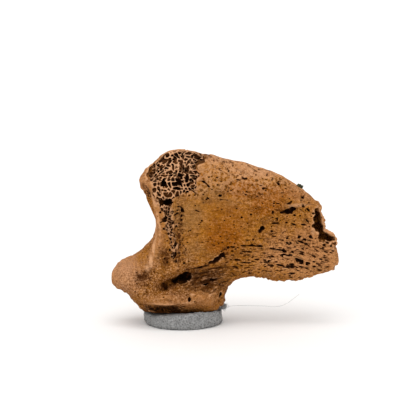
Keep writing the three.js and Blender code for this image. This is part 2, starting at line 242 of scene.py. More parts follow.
class ClawShape(bpy.types.PropertyGroup):
    """How the bone is sculpted."""

    voxel: bpy.props.FloatProperty(
        name="Voxel", description="Edge of a sculpting cell in mm", default=0.13, min=0.1, max=0.5
    )
    quick_voxel: bpy.props.FloatProperty(
        name="Quick voxel", description="The same for a quick look", default=0.2, min=0.1, max=0.6
    )
    triangles: bpy.props.IntProperty(
        name="Triangles", description="Faces left after thinning", default=192000, max=199000
    )
    cell: bpy.props.FloatProperty(
        name="Spongy cell", description="Width of the spongy bone's cells in mm", default=0.9
    )
    wall: bpy.props.FloatProperty(
        name="Spongy wall", description="Thickness of the cells' walls in mm", default=0.15
    )
    pores: bpy.props.IntProperty(
        name="Pores", description="Small pores scattered over each side", default=450
    )
    seed: bpy.props.IntProperty(name="Seed", description="Which scatter of pores", default=7)


class BoneFinish(bpy.types.PropertyGroup):
    """The colours of the bone."""

    tan: tint("Tan", "Most of the bone", (0.42, 0.155, 0.014))
    # The pale tint is the bone's paler tone, and also painted highlight on high places.
    pale: tint("Pale", "Rubbed high places", (0.6, 0.265, 0.09))
    # This tint is pale specks of wear, and also painted highlight on sharp edges and ridges.
    rubbed_and_highlight: tint("Rubbed", "The sharpest rims", (0.76, 0.41, 0.21))
    # The pink tint is partly fleshy smears and partly painted highlight.
    pink: tint("Pink", "Fleshy smears", (0.5, 0.238, 0.115))
    umber: tint("Umber", "Brown mottling", (0.17, 0.056, 0.006))
    olive: tint("Olive", "Greenish smears", (0.33, 0.16, 0.048))
    ochre: tint("Ochre", "Orange stains", (0.31, 0.088, 0.0))
    # The brown tint is dirt in dips, and also painted shade in hollows, creases and along the foot.
    brown: tint("Brown", "Dirt in dips", (0.07, 0.019, 0.003))
    # The hollow tint is near black: it paints shade deep in the pores and the foramen, and under
    # the tubercle.
    hollow: tint("Hollow", "Earth in the pores", (0.006, 0.0015, 0.0005))
    lattice: tint("Lattice", "Walls of spongy bone", (0.64, 0.35, 0.19))


class PadShape(bpy.types.PropertyGroup):
    """The pressed pad of putty."""

    grey: tint("Grey", "The putty", (0.3, 0.3, 0.298))
    dark: tint("Speck", "Its dark specks", (0.09, 0.088, 0.085))
    light: tint("Light", "Its pale specks", (0.45, 0.45, 0.44))


class Studio(bpy.types.PropertyGroup):
    """The floor, the lights and the camera."""

    elevation: bpy.props.FloatProperty(
        name="Elevation", description="How far the camera looks down", default=math.radians(9),
        subtype="ANGLE",
    )
    lens: bpy.props.FloatProperty(name="Lens", description="Focal length in mm", default=135)
    distance: bpy.props.FloatProperty(
        name="Distance", description="From the camera to the claw", default=0.345, unit="LENGTH"
    )
    sky: bpy.props.FloatProperty(name="Sky", description="The white room's light", default=0.85)
    key: bpy.props.FloatProperty(name="Key", description="The soft sun's strength", default=1.4)


# ---- Sculpting in voxels -----------------------------------------------------------------

LATTICE = 64  # knots to a side of the repeating noise lattices
CLOUD_SPREAD = 0.33  # the spread of splined noise of unit knots
CELL_ROUND = 0.06  # how round a foam's cells are, as a share of their size
FLAT_WALL = 0.62  # a foam's walls that face the surface more squarely than this are left out
FAR = 99.0  # further than any seed of a foam


def closed_curve(points):
    """Places on a smooth closed curve through the points: a centripetal Catmull-Rom."""
    here = np.array(points, float)
    before, after, last = (np.roll(here, shift, axis=0) for shift in (1, -1, -2))
    gap0, gap1, gap2 = (
        np.sqrt(np.linalg.norm(b - a, axis=1))[:, None]
        for a, b in ((before, here), (here, after), (after, last))
    )
    leave = (here - before) / gap0 - (after - before) / (gap0 + gap1) + (after - here) / gap1
    reach = (after - here) / gap1 - (last - here) / (gap1 + gap2) + (last - after) / gap2
    t = (np.arange(CURVE_STEPS) / CURVE_STEPS)[None, :, None]
    start, end = here[:, None], after[:, None]
    leave, reach = (leave * gap1)[:, None], (reach * gap1)[:, None]
    curve = (
        (2 * t**3 - 3 * t**2 + 1) * start
        + (t**3 - 2 * t**2 + t) * leave
        + (3 * t**2 - 2 * t**3) * end
        + (t**3 - t**2) * reach
    )
    return curve.reshape(-1, here.shape[1])


def inset(x, z, curve):
    """How far in from a closed curve each place lies: in rounds if the curve has them, and in mm.
    Also the round of the nearest stretch. Outside the curve both distances are negative."""
    rounds = curve[:, 1] if curve.shape[1] == 3 else np.ones(len(curve))
    px, pz = curve[:, 0], curve[:, -1]
    share = np.full(x.shape, np.inf, np.float32)
    plain = np.full(x.shape, np.inf, np.float32)
    nearest = np.ones(x.shape, np.float32)
    within = np.zeros(x.shape, bool)
    for i in range(len(curve)):
        j = (i + 1) % len(curve)
        dx, dz = px[j] - px[i], pz[j] - pz[i]
        ax, az = x - px[i], z - pz[i]
        t = np.clip((ax * dx + az * dz) / (dx * dx + dz * dz), 0, 1)
        gap = np.hypot(ax - t * dx, az - t * dz)
        size = rounds[i] + t * (rounds[j] - rounds[i])
        closer = gap / size < share
        share = np.where(closer, gap / size, share)
        nearest = np.where(closer, size, nearest)
        plain = np.minimum(plain, gap)
        if dz:
            within ^= ((pz[i] > z) != (pz[j] > z)) & (ax < az * dx / dz)
    sign = np.where(within, 1, -1)
    return share * sign, plain * sign, nearest


def soft_max(a, b, blend):
    """The larger of two fields, with the fold between them rounded."""
    h = np.clip(0.5 + 0.5 * (a - b) / blend, 0, 1)
    return b + (a - b) * h + blend * h * (1 - h)


def smooth_step(low, high, value):
    """0 up to the low end, 1 from the high end on, and a smooth climb between them."""
    t = np.clip((value - low) / (high - low), 0, 1)
    return t * t * (3 - 2 * t)


def spline_weights(places, low, high, spacing):
    """The share of each lattice knot at each place along an axis, as a cubic B-spline."""
    knots = np.arange(int((high - low) / spacing) + 4) - 1
    t = np.abs((places[:, None] - low) / spacing - knots[None, :])
    near = 2 / 3 - t**2 + t**3 / 2
    return np.where(t < 1, near, np.where(t < 2, (2 - t) ** 3 / 6, 0)).astype(np.float32)


def gaussian(axis, sigma):
    """The weights that blur a row of values, one row of weights to each."""
    weights = np.exp(-(((axis[:, None] - axis[None, :]) / sigma) ** 2) / 2)
    return weights / weights.sum(axis=1, keepdims=True)


def turned(x, z, turn):
    """How far places lie along and across a direction of the side's plane."""
    angle = math.radians(turn)
    return x * math.cos(angle) + z * math.sin(angle), z * math.cos(angle) - x * math.sin(angle)


def along_and_across(turn):
    """The two directions in the plane of the side that a turn in degrees gives."""
    angle = math.radians(turn)
    return (math.cos(angle), 0, math.sin(angle)), (-math.sin(angle), 0, math.cos(angle))


def bell(x, z, middle, reach, turn=0):
    """A swell that is 1 at its middle and fades past its reach."""
    u, v = turned(x - middle[0], z - middle[1], turn)
    return np.exp(-((u / reach[0]) ** 2) - (v / reach[1]) ** 2)


def through(side_map):
    """A map of the side as a field that is the same all through the thickness."""
    return side_map.astype(np.float32)[:, None, :]


def grain_noise(u, v, rng):
    """Smooth noise over any two coordinates, with one knot to each unit."""
    lattice = rng.standard_normal((LATTICE, LATTICE)).astype(np.float32)
    iu, iv = np.floor(u).astype(int), np.floor(v).astype(int)
    fu, fv = u - iu, v - iv
    fu, fv = fu * fu * (3 - 2 * fu), fv * fv * (3 - 2 * fv)
    iu, iv = iu % LATTICE, iv % LATTICE
    ju, jv = (iu + 1) % LATTICE, (iv + 1) % LATTICE
    low = lattice[iu, iv] * (1 - fu) + lattice[ju, iv] * fu
    high = lattice[iu, jv] * (1 - fu) + lattice[ju, jv] * fu
    return low * (1 - fv) + high * fv


class Block:
    """A block of voxels. Its field is the distance from the surface in mm, negative inside."""

    def __init__(self, low, high, voxel, seed):
        self.voxel = voxel
        self.low = np.array(low, float)
        self.high = np.array(high, float)
        self.axes = [np.arange(a, b, voxel).astype(np.float32) for a, b in zip(low, high)]
        self.x, self.y, self.z = np.meshgrid(*self.axes, indexing="ij", sparse=True)
        self.side_x, self.side_z = np.meshgrid(self.axes[0], self.axes[2], indexing="ij")
        self.rng = np.random.default_rng(seed)
        self.field = None

    def cloud(self, spacing, window=(slice(None),) * 3):
        """Smooth noise of unit spread, with a knot of its lattice at each spacing."""
        wx, wy, wz = (
            spline_weights(a[w], low, high, spacing)
            for a, w, low, high in zip(self.axes, window, self.low, self.high)
        )
        lattice = self.rng.standard_normal((wx.shape[1], wy.shape[1], wz.shape[1]))
        made = np.tensordot(wx, lattice.astype(np.float32), (1, 0))
        return np.matmul(np.matmul(wy, made), wz.T) / CLOUD_SPREAD

    def blurred(self, side_map, sigma):
        """A map of the side, blurred over a distance in mm."""
        across = gaussian(self.axes[0], sigma)
        up = gaussian(self.axes[2], sigma)
        return across @ side_map @ up.T

    def window(self, centre, reach):
        """The slices of the voxels within reach of a place."""
        slices = []
        for axis, middle, room in zip(self.axes, centre, reach):
            low = int(np.searchsorted(axis, middle - room))
            high = int(np.searchsorted(axis, middle + room))
            slices.append(slice(low, max(high, low)))
        return tuple(slices)

    def at(self, places, field):
        """A field's values at places in mm, blended from the eight voxels around each."""
        place = (places - self.low) / self.voxel
        place = np.clip(place, 0, np.array(field.shape) - 1.001)
        corner = place.astype(int)
        t = (place - corner).T
        total = 0
        for i, j, k in np.ndindex(2, 2, 2):
            parts = [t[a] if step else 1 - t[a] for a, step in enumerate((i, j, k))]
            share = parts[0] * parts[1] * parts[2]
            total = total + share * field[tuple((corner + (i, j, k)).T)]
        return total

    def crowding(self, sigma):
        """The share of solid round each voxel: under a half on ridges and over it in hollows."""
        share = (self.field < 0).astype(np.float32)
        reach = max(1, round((math.sqrt(4 * (sigma / self.voxel) ** 2 + 1) - 1) / 2))
        width = 2 * reach + 1
        for axis in (0, 1, 2):
            for _ in range(3):
                room = [(0, 0)] * 3
                room[axis] = (reach + 1, reach)
                total = np.cumsum(np.pad(share, room, mode="edge"), axis=axis)
                ahead, behind = [slice(None)] * 3, [slice(None)] * 3
                ahead[axis], behind[axis] = slice(width, None), slice(None, -width)
                share = (total[tuple(ahead)] - total[tuple(behind)]) / width
        return share

    def scoop(self, centre, half, axes=None, blend=0.15, rough=None, amount=0.0):
        """Cuts an ellipsoid out of the field. Its axes are rows of a turning matrix."""
        reach = max(half) + 3 * blend
        window = self.window(centre, (reach,) * 3)
        if any(s.stop <= s.start for s in window):
            return
        parts = [a[w] - c for a, w, c in zip(self.axes, window, centre)]
        dx, dy, dz = np.meshgrid(*parts, indexing="ij", sparse=True)
        if axes is None:
            axes = np.eye(3)
        stretch = 0
        for row, size in zip(axes, half):
            stretch = stretch + ((row[0] * dx + row[1] * dy + row[2] * dz) / size) ** 2
        hollow = (np.sqrt(stretch) - 1) * min(half)
        if rough is not None:
            hollow = hollow + amount * rough[window]
        self.field[window] = soft_max(self.field[window], -hollow, blend)

    def surface(self):
        """The field's zero surface as vertices in mm and four-sided faces: one vertex to each
        cell that the surface crosses, and one face to each edge between voxels."""
        field = self.field
        solid = field < 0
        nx, ny, nz = field.shape
        count = np.zeros((nx - 1, ny - 1, nz - 1), np.uint8)
        corners = list(np.ndindex(2, 2, 2))
        for i, j, k in corners:
            count += solid[i : nx - 1 + i, j : ny - 1 + j, k : nz - 1 + k]
        cells = np.argwhere((count > 0) & (count < 8))
        values = np.stack([field[tuple((cells + corner).T)] for corner in corners], axis=1)
        total = np.zeros((len(cells), 3), np.float32)
        hits = np.zeros(len(cells), np.float32)
        for a, start in enumerate(corners):
            for b, end in enumerate(corners):
                if sum(end) - sum(start) != 1 or any(e < s for s, e in zip(start, end)):
                    continue
                crossed = (values[:, a] < 0) != (values[:, b] < 0)
                span = np.where(crossed, values[:, a] - values[:, b], 1)
                t = np.where(crossed, values[:, a] / span, 0)
                step = np.array(end, np.float32) - np.array(start, np.float32)
                total += np.where(crossed[:, None], np.array(start) + t[:, None] * step, 0)
                hits += crossed
        places = self.low + (cells + total / hits[:, None]) * self.voxel
        number = np.full(count.shape, -1, np.int32)
        number[tuple(cells.T)] = np.arange(len(cells))
        faces = []
        unit = np.eye(3, dtype=int)
        for a in range(3):
            b, c = (a + 1) % 3, (a + 2) % 3
            low = [slice(1, n - 1) for n in field.shape]
            high = list(low)
            low[a] = slice(0, field.shape[a] - 1)
            high[a] = slice(1, field.shape[a])
            lower, upper = solid[tuple(low)], solid[tuple(high)]
            edges = np.argwhere(lower != upper)
            leaving = lower[tuple(edges.T)]
            at = edges + unit[b] + unit[c]
            ring = [at, at - unit[b], at - unit[b] - unit[c], at - unit[c]]
            quads = np.stack([number[tuple(cell.T)] for cell in ring], axis=1)
            quads[~leaving] = quads[~leaving][:, ::-1]
            faces.append(quads)
        return places, np.concatenate(faces)


def biggest_piece(places, faces):
    """The vertices and faces of the largest joined surface: loose crumbs and sealed bubbles go."""
    label = np.arange(len(places))
    ends = np.stack([faces, np.roll(faces, -1, axis=1)], axis=-1).reshape(-1, 2)
    while True:
        low = np.minimum(label[ends[:, 0]], label[ends[:, 1]])
        before = label.copy()
        np.minimum.at(label, ends[:, 0], low)
        np.minimum.at(label, ends[:, 1], low)
        label = label[label]
        if (label == before).all():
            break
    kept = label == np.bincount(label).argmax()
    number = np.cumsum(kept) - 1
    return places[kept], number[faces[kept[faces[:, 0]]]]


def foam(block, window, size, warp, normal):
    """How far each voxel lies from the nearest wall of a foam of irregular cells, in mm. Walls that
    lie along the surface are left out, so that the cells run deep."""
    parts = [(a[w] - low) / size for a, w, low in zip(block.axes, window, block.low)]
    place = np.stack(np.meshgrid(*parts, indexing="ij"), axis=-1).astype(np.float32) + warp
    home = np.floor(place).astype(np.int32)
    place -= home
    seeds = block.rng.uniform(0.0, 1.0, (LATTICE,) * 3 + (3,)).astype(np.float32)
    around = [np.array(offset) - 1 for offset in np.ndindex(3, 3, 3)]

    def away(offset):
        i, j, k = np.moveaxis((home + offset) % LATTICE, -1, 0)
        return seeds[i, j, k] + offset.astype(np.float32) - place

    least = np.full(home.shape[:3], FAR, np.float32)
    nearest = np.zeros(place.shape, np.float32)
    for offset in around:
        gap = away(offset)
        length = (gap**2).sum(axis=-1)
        closer = length < least
        least = np.where(closer, length, least)
        nearest = np.where(closer[..., None], gap, nearest)
    crowd = np.full(least.shape, 1e-9, np.float32)
    for offset in around:
        gap = away(offset)
        apart = gap - nearest
        length = np.sqrt((apart**2).sum(axis=-1)) + 1e-6
        upright = np.abs((apart * normal).sum(axis=-1)) < FLAT_WALL * length
        depth = ((gap**2).sum(axis=-1) - least) / (2 * length)
        crowd += np.where(upright & (length > 1e-3), np.exp(-depth / CELL_ROUND), 0)
    return -np.log(crowd) * CELL_ROUND * size


# ---- Sculpting the claw ------------------------------------------------------------------

BLOCK_LOW = (-16.6, -9.0, 1.6)
BLOCK_HIGH = (35.2, 9.0, 40.4)
HALF_WIDTH = 8.25  # the bone's widest place stays within this of the middle plane
FIRST_X, LAST_X = (corner[0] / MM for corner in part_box("claw_core"))
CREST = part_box("claw_core")[1][2] / MM
EDGE_ROOM = 0.01  # how far inside the solid the lip of the joint stays
EDGE_BLEND = 0.15  # how softly these limits cut

# The fibres run level along the palmar edge, and follow the dorsal ridge further up.
FIBRE_X = (-16, 5, 15, 25, 36)
FIBRE_TOP = (40.0, 38.5, 36.0, 31.5, 23.0)
FIBRE_FOOT = 10.0
FIBRE_HEIGHT = 27.0
# Streaks along them as (rise, knot length, knot width).
STREAKS = [(0.07, 4.0, 0.8), (0.05, 2.0, 0.42)]

# The wrinkled hollow, how deep its wrinkles are, and the length and width of their knots.
FOSSA, FOSSA_REACH, FOSSA_TURN = (5.2, 10.4), (5.6, 2.2), 14
WRINKLE_DEPTH, WRINKLE_KNOT = 0.32, (1.8, 0.42)

ROUND_BLUR = 0.7  # how far the outline's distances are smoothed
PATCH_RAG, PATCH_KNOT = 0.45, 0.7  # how ragged the worn patches' edges are, and how finely
# The knots of the wide, the middling and the fine unevenness, and how much each rises.
UNEVEN_KNOTS = (3.0, 1.1, 0.5)
UNEVEN_RISES = (0.08, 0.045, 0.026)
# Rugged places of both sides as (middle, reach, share).
RUGGED_PLACES = [
    ((4.6, 9.4), (4.6, 2), 1.3), ((3, 7.8), (5, 0.9), 1.2), ((-8.6, 11.4), (2.2, 1.7), 1.2),
    ((-4, 16), (1.7, 2.4), 0.9),
]
# The crushed strip beside the joint: its middle, its reach, and how much rougher it is.
STRIP, STRIP_REACH, STRIP_SHARE = (-1.0, 20.5), (1.0, 7.0), 1.8

# How far from the middle plane the worn side's top is ground off, at distances from the outline,
# and how fast that fades below a height.
BEVEL_MARGINS = (0, 2.8, 6.5)
BEVEL_DEPTHS = (-0.4, 3.4, 6.2)
BEVEL_SLOPE = 1.36
BEVEL_FOOT, BEVEL_FADE = 34.5, 1.2
BEVEL_BEYOND = 0.6  # how far past the worn patch it runs

# The broken tip: its floor's distance past the middle plane, the width and height of the rim left
# standing round it, and how ragged that rim is, and how finely.
TIP_FLOOR, TIP_RIM, TIP_RIM_HEIGHT = 0.2, (0.5, 1.9), 1.7
TIP_RAG, TIP_KNOT = 0.35, 0.8

# How far below the bone's face the spongy bone lies, and how far past the middle plane it runs,
# on the worn and on the whole side.
SINKS = (0.4, 0.3)
OVERLAPS = (1.8, -1.2)
OVERLAP_FADE, ZONE_FADE = 0.8, 0.5  # how gently it ends in the thickness, and round the patch
OUTWARD = 0.6  # how far the spongy cells turn from facing squarely off the surface to facing out
# How much finer the spongy cells are beside the joint, over which heights that comes in, and the
# place about which they shrink.
FINER_CELLS = 0.5
FINER_BELOW = (30.5, 27.5)
FINER_ABOUT = (-3, -6, 29)
CELL_WARP, WARP_KNOT = 0.22, 1.1  # how bent the cells are, in cells, and how finely
CELL_FLOOR, DEEPER_FLOOR = 0.45, 0.55  # how deep the cells go at least, and the more in places
HOLE_SINK = 0.5  # how far under the bone's face the middles of the spongy bone's big holes lie

PORE_DEPTH, PORE_SLANT = 0.5, 0.15  # of the larger pores
# Small pores keep in from the outline, up from the putty, and off the worn patches.
PORE_INSET, PORE_FLOOR, PORE_PATCH_GAP = 0.12, 3.2, 0.3


class Claw:
    """The claw core's field, with the maps that its colours follow."""

    def __init__(self, shape, voxel):
        self.shape = shape
        self.block = Block(BLOCK_LOW, BLOCK_HIGH, voxel, shape.seed)
        self.side_maps()
        self.lay_form()
        self.roughen()
        self.scoop_both([JOINT_CHEEK], blend=0.25)
        self.outer = self.block.field.copy()
        self.open_cavities()
        self.bare = self.block.field.copy()
        self.opened = self.bare.copy()
        self.open_spongy_bone()
        self.cut_hollows()
        self.mend_joint()
        self.cut_pores()
        field = soft_max(self.block.field, SEAT - self.block.z, 0.25)
        x, y, z = self.block.x, self.block.y, self.block.z
        nearest = FIRST_X + EDGE_ROOM
        for edge in (np.abs(y) - HALF_WIDTH, x - LAST_X, nearest - x, z - CREST):
            field = soft_max(field, edge, EDGE_BLEND)
        self.block.field = field

    def side_maps(self):
        """The outline, the fibres, the worn patches and both sides' thickness over the side."""
        block = self.block
        x, z = block.side_x, block.side_z
        share, self.margin, self.rounds = inset(x, z, closed_curve(OUTLINE))
        inner = smooth_step(0.3, 0.9, share)
        self.share = share + (block.blurred(share, ROUND_BLUR) - share) * inner
        self.rounds = block.blurred(self.rounds, ROUND_BLUR)
        top = np.interp(x, FIBRE_X, FIBRE_TOP)
        self.fibre = (z - FIBRE_FOOT) / (top - FIBRE_FOOT) * FIBRE_HEIGHT
        self.streaky = smooth_step(0, 5, x) * (1 - 0.6 * smooth_step(18, 30, z))
        self.patches = []
        for patch in (WORN_PATCH, WHOLE_PATCH, BROKEN_WALL):
            rag = PATCH_RAG * grain_noise(x / PATCH_KNOT, z / PATCH_KNOT, block.rng)
            self.patches.append(inset(x, z, closed_curve(patch))[1] + rag)
        self.worn = self.thickness(WORN_SIDE_RELIEF)
        self.whole = self.thickness(WHOLE_SIDE_RELIEF)

    def thickness(self, own_relief):
        """How far one side's flat lies from the middle plane, with its relief and streaks."""
        x, z, rng = self.block.side_x, self.block.side_z, self.block.rng
        flat = np.interp(x, THICKNESS_AT, HALF_THICKNESS)
        for relief in (BOTH_SIDES_RELIEF, own_relief):
            for middle, reach, turn, rise in relief:
                flat = flat + rise * bell(x, z, middle, reach, turn)
        streaks = 0
        for rise, long, wide in STREAKS:
            streaks = streaks + rise * grain_noise(x / long, self.fibre / wide, rng)
        u, v = turned(x - FOSSA[0], z - FOSSA[1], FOSSA_TURN)
        wrinkles = np.abs(grain_noise(u / WRINKLE_KNOT[0], v / WRINKLE_KNOT[1], rng)) - 0.7
        inside = bell(x, z, FOSSA, FOSSA_REACH, FOSSA_TURN)
        flat = flat + streaks * self.streaky + WRINKLE_DEPTH * wrinkles * inside
        return np.minimum(flat, HALF_WIDTH - EDGE_BLEND).astype(np.float32)

    def lay_form(self):
        """The whole bone: flat sides that round over to the outline."""
        block = self.block
        keel = through(np.maximum(1 - self.share, 0))
        half = np.where(block.y < 0, through(self.worn), through(self.whole))
        rounds = through(self.rounds)
        radius = np.sqrt((block.y / half) ** 2 + keel**2)
        slope = np.sqrt((block.y / half**2) ** 2 + (keel / rounds) ** 2) + 1e-4
        block.field = ((radius - 1) * radius / slope).astype(np.float32)
        self.height = [
            side * flat * np.sqrt(np.clip(1 - keel[:, 0, :] ** 2, 0, 1))
            for side, flat in ((-1, self.worn), (1, self.whole))
        ]

    def roughen(self):
        """Makes the surface uneven, most of all by the tubercle and along the broken edges."""
        block = self.block
        x, z = block.side_x, block.side_z
        near_edge = np.exp(-((self.margin / 1.5) ** 2))
        palmar = near_edge * smooth_step(12.5, 16, x) * (1 - smooth_step(13, 16, z))
        tip = near_edge * smooth_step(28.5, 30.5, x)
        ragged = through(np.maximum(palmar, tip))
        rugose = (1 - smooth_step(6, 10, z)) * (1 - smooth_step(9, 12, x))
        rugose = np.maximum(rugose, 0.5 * near_edge * (x < -4))
        for middle, reach, amount in RUGGED_PLACES:
            rugose = rugose + amount * bell(x, z, middle, reach)
        clouds = [block.cloud(spacing) for spacing in UNEVEN_KNOTS]
        _, mid, fine = clouds
        field = block.field
        field += sum(rise * cloud for rise, cloud in zip(UNEVEN_RISES, clouds))
        across, up = (x - STRIP[0]) / STRIP_REACH[0], (z - STRIP[1]) / STRIP_REACH[1]
        crushed = through(np.exp(-(across**2) - up**4))
        field += (through(rugose) + STRIP_SHARE * crushed) * (0.09 * mid + 0.07 * fine)
        field += ragged * (0.1 + 0.15 * mid + 0.13 * fine)
        self.mid, self.fine = mid, fine

    def open_cavities(self):
        """Opens the foramina, and breaks the worn side's wall away at the tip."""
        block = self.block
        self.scoop_both(FORAMINA, blend=0.12, rough=self.mid + self.fine, amount=0.19)
        bevel = np.interp(self.margin, BEVEL_MARGINS, BEVEL_DEPTHS)
        bevel = bevel + BEVEL_FADE * np.maximum(BEVEL_FOOT - block.side_z, 0)
        worn = through(self.patches[0]) + BEVEL_BEYOND
        gone = (-block.y - through(bevel)) / math.hypot(1, BEVEL_SLOPE)
        block.field = soft_max(block.field, np.minimum(gone, worn), 0.2)
        self.scoop_all(KNOB_NOTCH, -1, blend=0.2, rough=self.mid, amount=0.1)
        broken = through(self.patches[2])
        rag = TIP_RAG * grain_noise(block.side_x / TIP_KNOT, block.side_z / TIP_KNOT, block.rng)
        rim = 1 - through(smooth_step(*TIP_RIM, self.margin + rag))
        gone = np.minimum(broken, TIP_FLOOR - TIP_RIM_HEIGHT * rim - block.y)
        gone = gone + 0.18 * self.mid + 0.12 * self.fine
        block.field = soft_max(block.field, gone, 0.15)
        self.scoop_all(MARROW, -1, blend=0.2, rough=self.mid + self.fine, amount=0.16)

    def open_spongy_bone(self):
        """Sinks the worn patches a little, and cuts them into cells with thin walls."""
        block = self.block
        shape = self.shape
        self.spongy = np.zeros(block.field.shape, np.float32)
        for side, patch, sink, overlap in zip((-1, 1), self.patches, SINKS, OVERLAPS):
            rows = np.flatnonzero(block.axes[1] * side > -overlap)
            inside = np.argwhere(patch > -0.5)
            low, high = inside.min(axis=0), inside.max(axis=0) + 1
            window = (slice(low[0], high[0]), slice(rows[0], rows[-1] + 1), slice(low[1], high[1]))
            x, y, z = block.x[window[0]], block.y[:, window[1]], block.z[:, :, window[2]]
            field = block.field[window]
            normal = np.stack(np.gradient(field), axis=-1)
            for outward in (side * OUTWARD, 0):
                normal /= np.linalg.norm(normal, axis=-1, keepdims=True) + 1e-6
                normal[..., 1] += outward
            border = patch[window[0], window[2]][:, None, :]
            over = np.clip((y * side + overlap) / OVERLAP_FADE, 0, 1)
            zone = smooth_step(0.0, ZONE_FADE, border) * over
            uneven = block.cloud(1.6, window) + 0.5 * block.cloud(0.7, window)
            field = field + zone * (sink + 0.2 * uneven)
            self.opened[window] = np.maximum(self.opened[window], field)
            warp = [block.cloud(WARP_KNOT, window) for _ in range(3)]
            warp = np.stack(warp, axis=-1) * CELL_WARP
            finer = FINER_CELLS * smooth_step(*FINER_BELOW, z)
            warp[..., 0] += finer * (x - FINER_ABOUT[0]) / shape.cell
            warp[..., 1] += finer * (y - FINER_ABOUT[1]) / shape.cell
            warp[..., 2] += FINER_CELLS * np.minimum(z - FINER_ABOUT[2], 0) / shape.cell
            wall = foam(block, window, shape.cell, warp.astype(np.float32), normal)
            plate = shape.wall * (0.5 + 0.12 * block.cloud(0.9, window)) * (1 + finer)
            floor = field + CELL_FLOOR + DEEPER_FLOOR * np.maximum(block.cloud(0.8, window), 0)
            cut = np.minimum(np.minimum(wall - plate, floor), border - 0.1)
            cut = np.minimum(cut, (over - 0.5) * 2)
            block.field[window] = soft_max(field, cut, 0.06)
            self.spongy[window] = np.maximum(self.spongy[window], zone)

    def scoop_at(self, centre, half, turn, **more):
        along, across = along_and_across(turn)
        self.block.scoop(centre, half, (along, (0, 1, 0), across), **more)

    def scoop_all(self, hollows, side, **more):
        for (cx, cz), inward, half, turn in hollows:
            self.scoop_at((cx, side * inward, cz), half, turn, **more)

    def scoop_both(self, hollows, **more):
        for side in (-1, 1):
            self.scoop_all(hollows, side, **more)

    def cut_hollows(self):
        """Cuts the pits, nicks and scratches, and the spongy bone's biggest holes."""
        for side, hollows in enumerate((WORN_SIDE_HOLLOWS, WHOLE_SIDE_HOLLOWS)):
            for (cx, cz), half, turn in hollows:
                centre = (cx, self.surface_at(cx, cz, side), cz)
                amount = min(0.45 * half[2], 0.12)
                self.scoop_at(centre, half, turn, blend=0.08, rough=self.fine, amount=amount)
        for (cx, cz), half in SPONGY_HOLES:
            centre = (cx, self.surface_at(cx, cz, 0) + HOLE_SINK, cz)
            self.block.scoop(centre, half, rough=self.mid + self.fine, amount=0.12)

    def mend_joint(self):
        """Fills the bone within a short way of the joint's cheeks, so that no hole runs through."""
        (x, z), inward, half, turn = JOINT_CHEEK
        u, v = turned(self.block.side_x - x, self.block.side_z - z, turn)
        flat = through((u / half[0]) ** 2 + (v / half[2]) ** 2)
        away = np.sqrt(flat + ((np.abs(self.block.y) - inward) / half[1]) ** 2) - 1
        shell = away * half[1] - JOINT_WALL
        self.block.field = np.minimum(self.block.field, np.maximum(self.bare, shell))

    def surface_at(self, x, z, side):
        """How far from the middle plane the bare bone's surface is at a place on one side."""
        place = np.array((x - BLOCK_LOW[0], z - BLOCK_LOW[2])) / self.block.voxel
        i, k = np.clip(np.rint(place), 0, np.array(self.share.shape) - 1).astype(int)
        return float(self.height[side][i, k])

    def cut_pores(self):
        """Cuts the larger pores, then scatters small ones that slant into both sides."""
        for x, z, long, wide, turn in WORN_SIDE_PORES:
            along, _ = along_and_across(turn)
            self.cut_pore(x, z, 0, along, (long, PORE_DEPTH, wide), PORE_SLANT)
        rng = self.block.rng
        low, high = np.array(BLOCK_LOW)[[0, 2]], np.array(BLOCK_HIGH)[[0, 2]]
        for side in (0, 1):
            left = self.shape.pores
            while left:
                x, z = rng.uniform(low, high)
                spread, long, slant, *sizes = rng.random(6)
                low_blade = smooth_step(6, 12, x) * (1 - smooth_step(17, 23, z))
                i, k = int((x - low[0]) / self.block.voxel), int((z - low[1]) / self.block.voxel)
                if self.share[i, k] < PORE_INSET or z < PORE_FLOOR:
                    continue
                if self.patches[side][i, k] > -PORE_PATCH_GAP:
                    continue
                high_blade = smooth_step(2, 6, x) * smooth_step(29, 32, z)
                if spread > (0.26 + 0.8 * low_blade + 0.4 * high_blade) * (1 - 0.5 * (x < -5)):
                    continue
                half = (
                    0.14 + 0.1 * sizes[0] + low_blade * (0.05 + 0.55 * long**2.0),
                    0.3 + 0.2 * sizes[1],
                    0.1 + 0.05 * sizes[2] + low_blade * (0.01 + 0.05 * long),
                )
                self.cut_pore(x, z, side, self.fibre_way(i, k), half, 0.1 + 0.5 * slant)
                left -= 1

    def fibre_way(self, i, k):
        """The direction of the fibres at a place of the side's maps."""
        i, k = np.clip((i, k), 1, np.array(self.fibre.shape) - 2)
        dx = self.fibre[i + 1, k] - self.fibre[i - 1, k]
        dz = self.fibre[i, k + 1] - self.fibre[i, k - 1]
        return np.array([dz, 0.0, -dx]) / math.hypot(dx, dz)

    def cut_pore(self, x, z, side, along, half, slant):
        """Cuts a pore that runs along the surface in one direction, and slants into it."""
        block = self.block
        centre = np.array([x, self.surface_at(x, z, side), z])
        at = np.rint((centre - block.low) / block.voxel).astype(int)
        i, j, k = np.clip(at, 1, np.array(block.field.shape) - 2)
        outer = self.outer
        normal = np.array([
            outer[i + 1, j, k] - outer[i - 1, j, k],
            outer[i, j + 1, k] - outer[i, j - 1, k],
            outer[i, j, k + 1] - outer[i, j, k - 1],
        ])
        normal /= np.linalg.norm(normal) + 1e-6
        along = along - normal * (along @ normal)
        along /= np.linalg.norm(along) + 1e-6
        across = np.cross(along, normal)
        along = along * math.cos(slant) + normal * math.sin(slant)
        block.scoop(centre, half, (along, np.cross(along, across), across), 0.06, self.fine, 0.015)


def add_object(name, data):
    made = bpy.data.objects.new(name, data)
    bpy.context.scene.collection.objects.link(made)
    return made


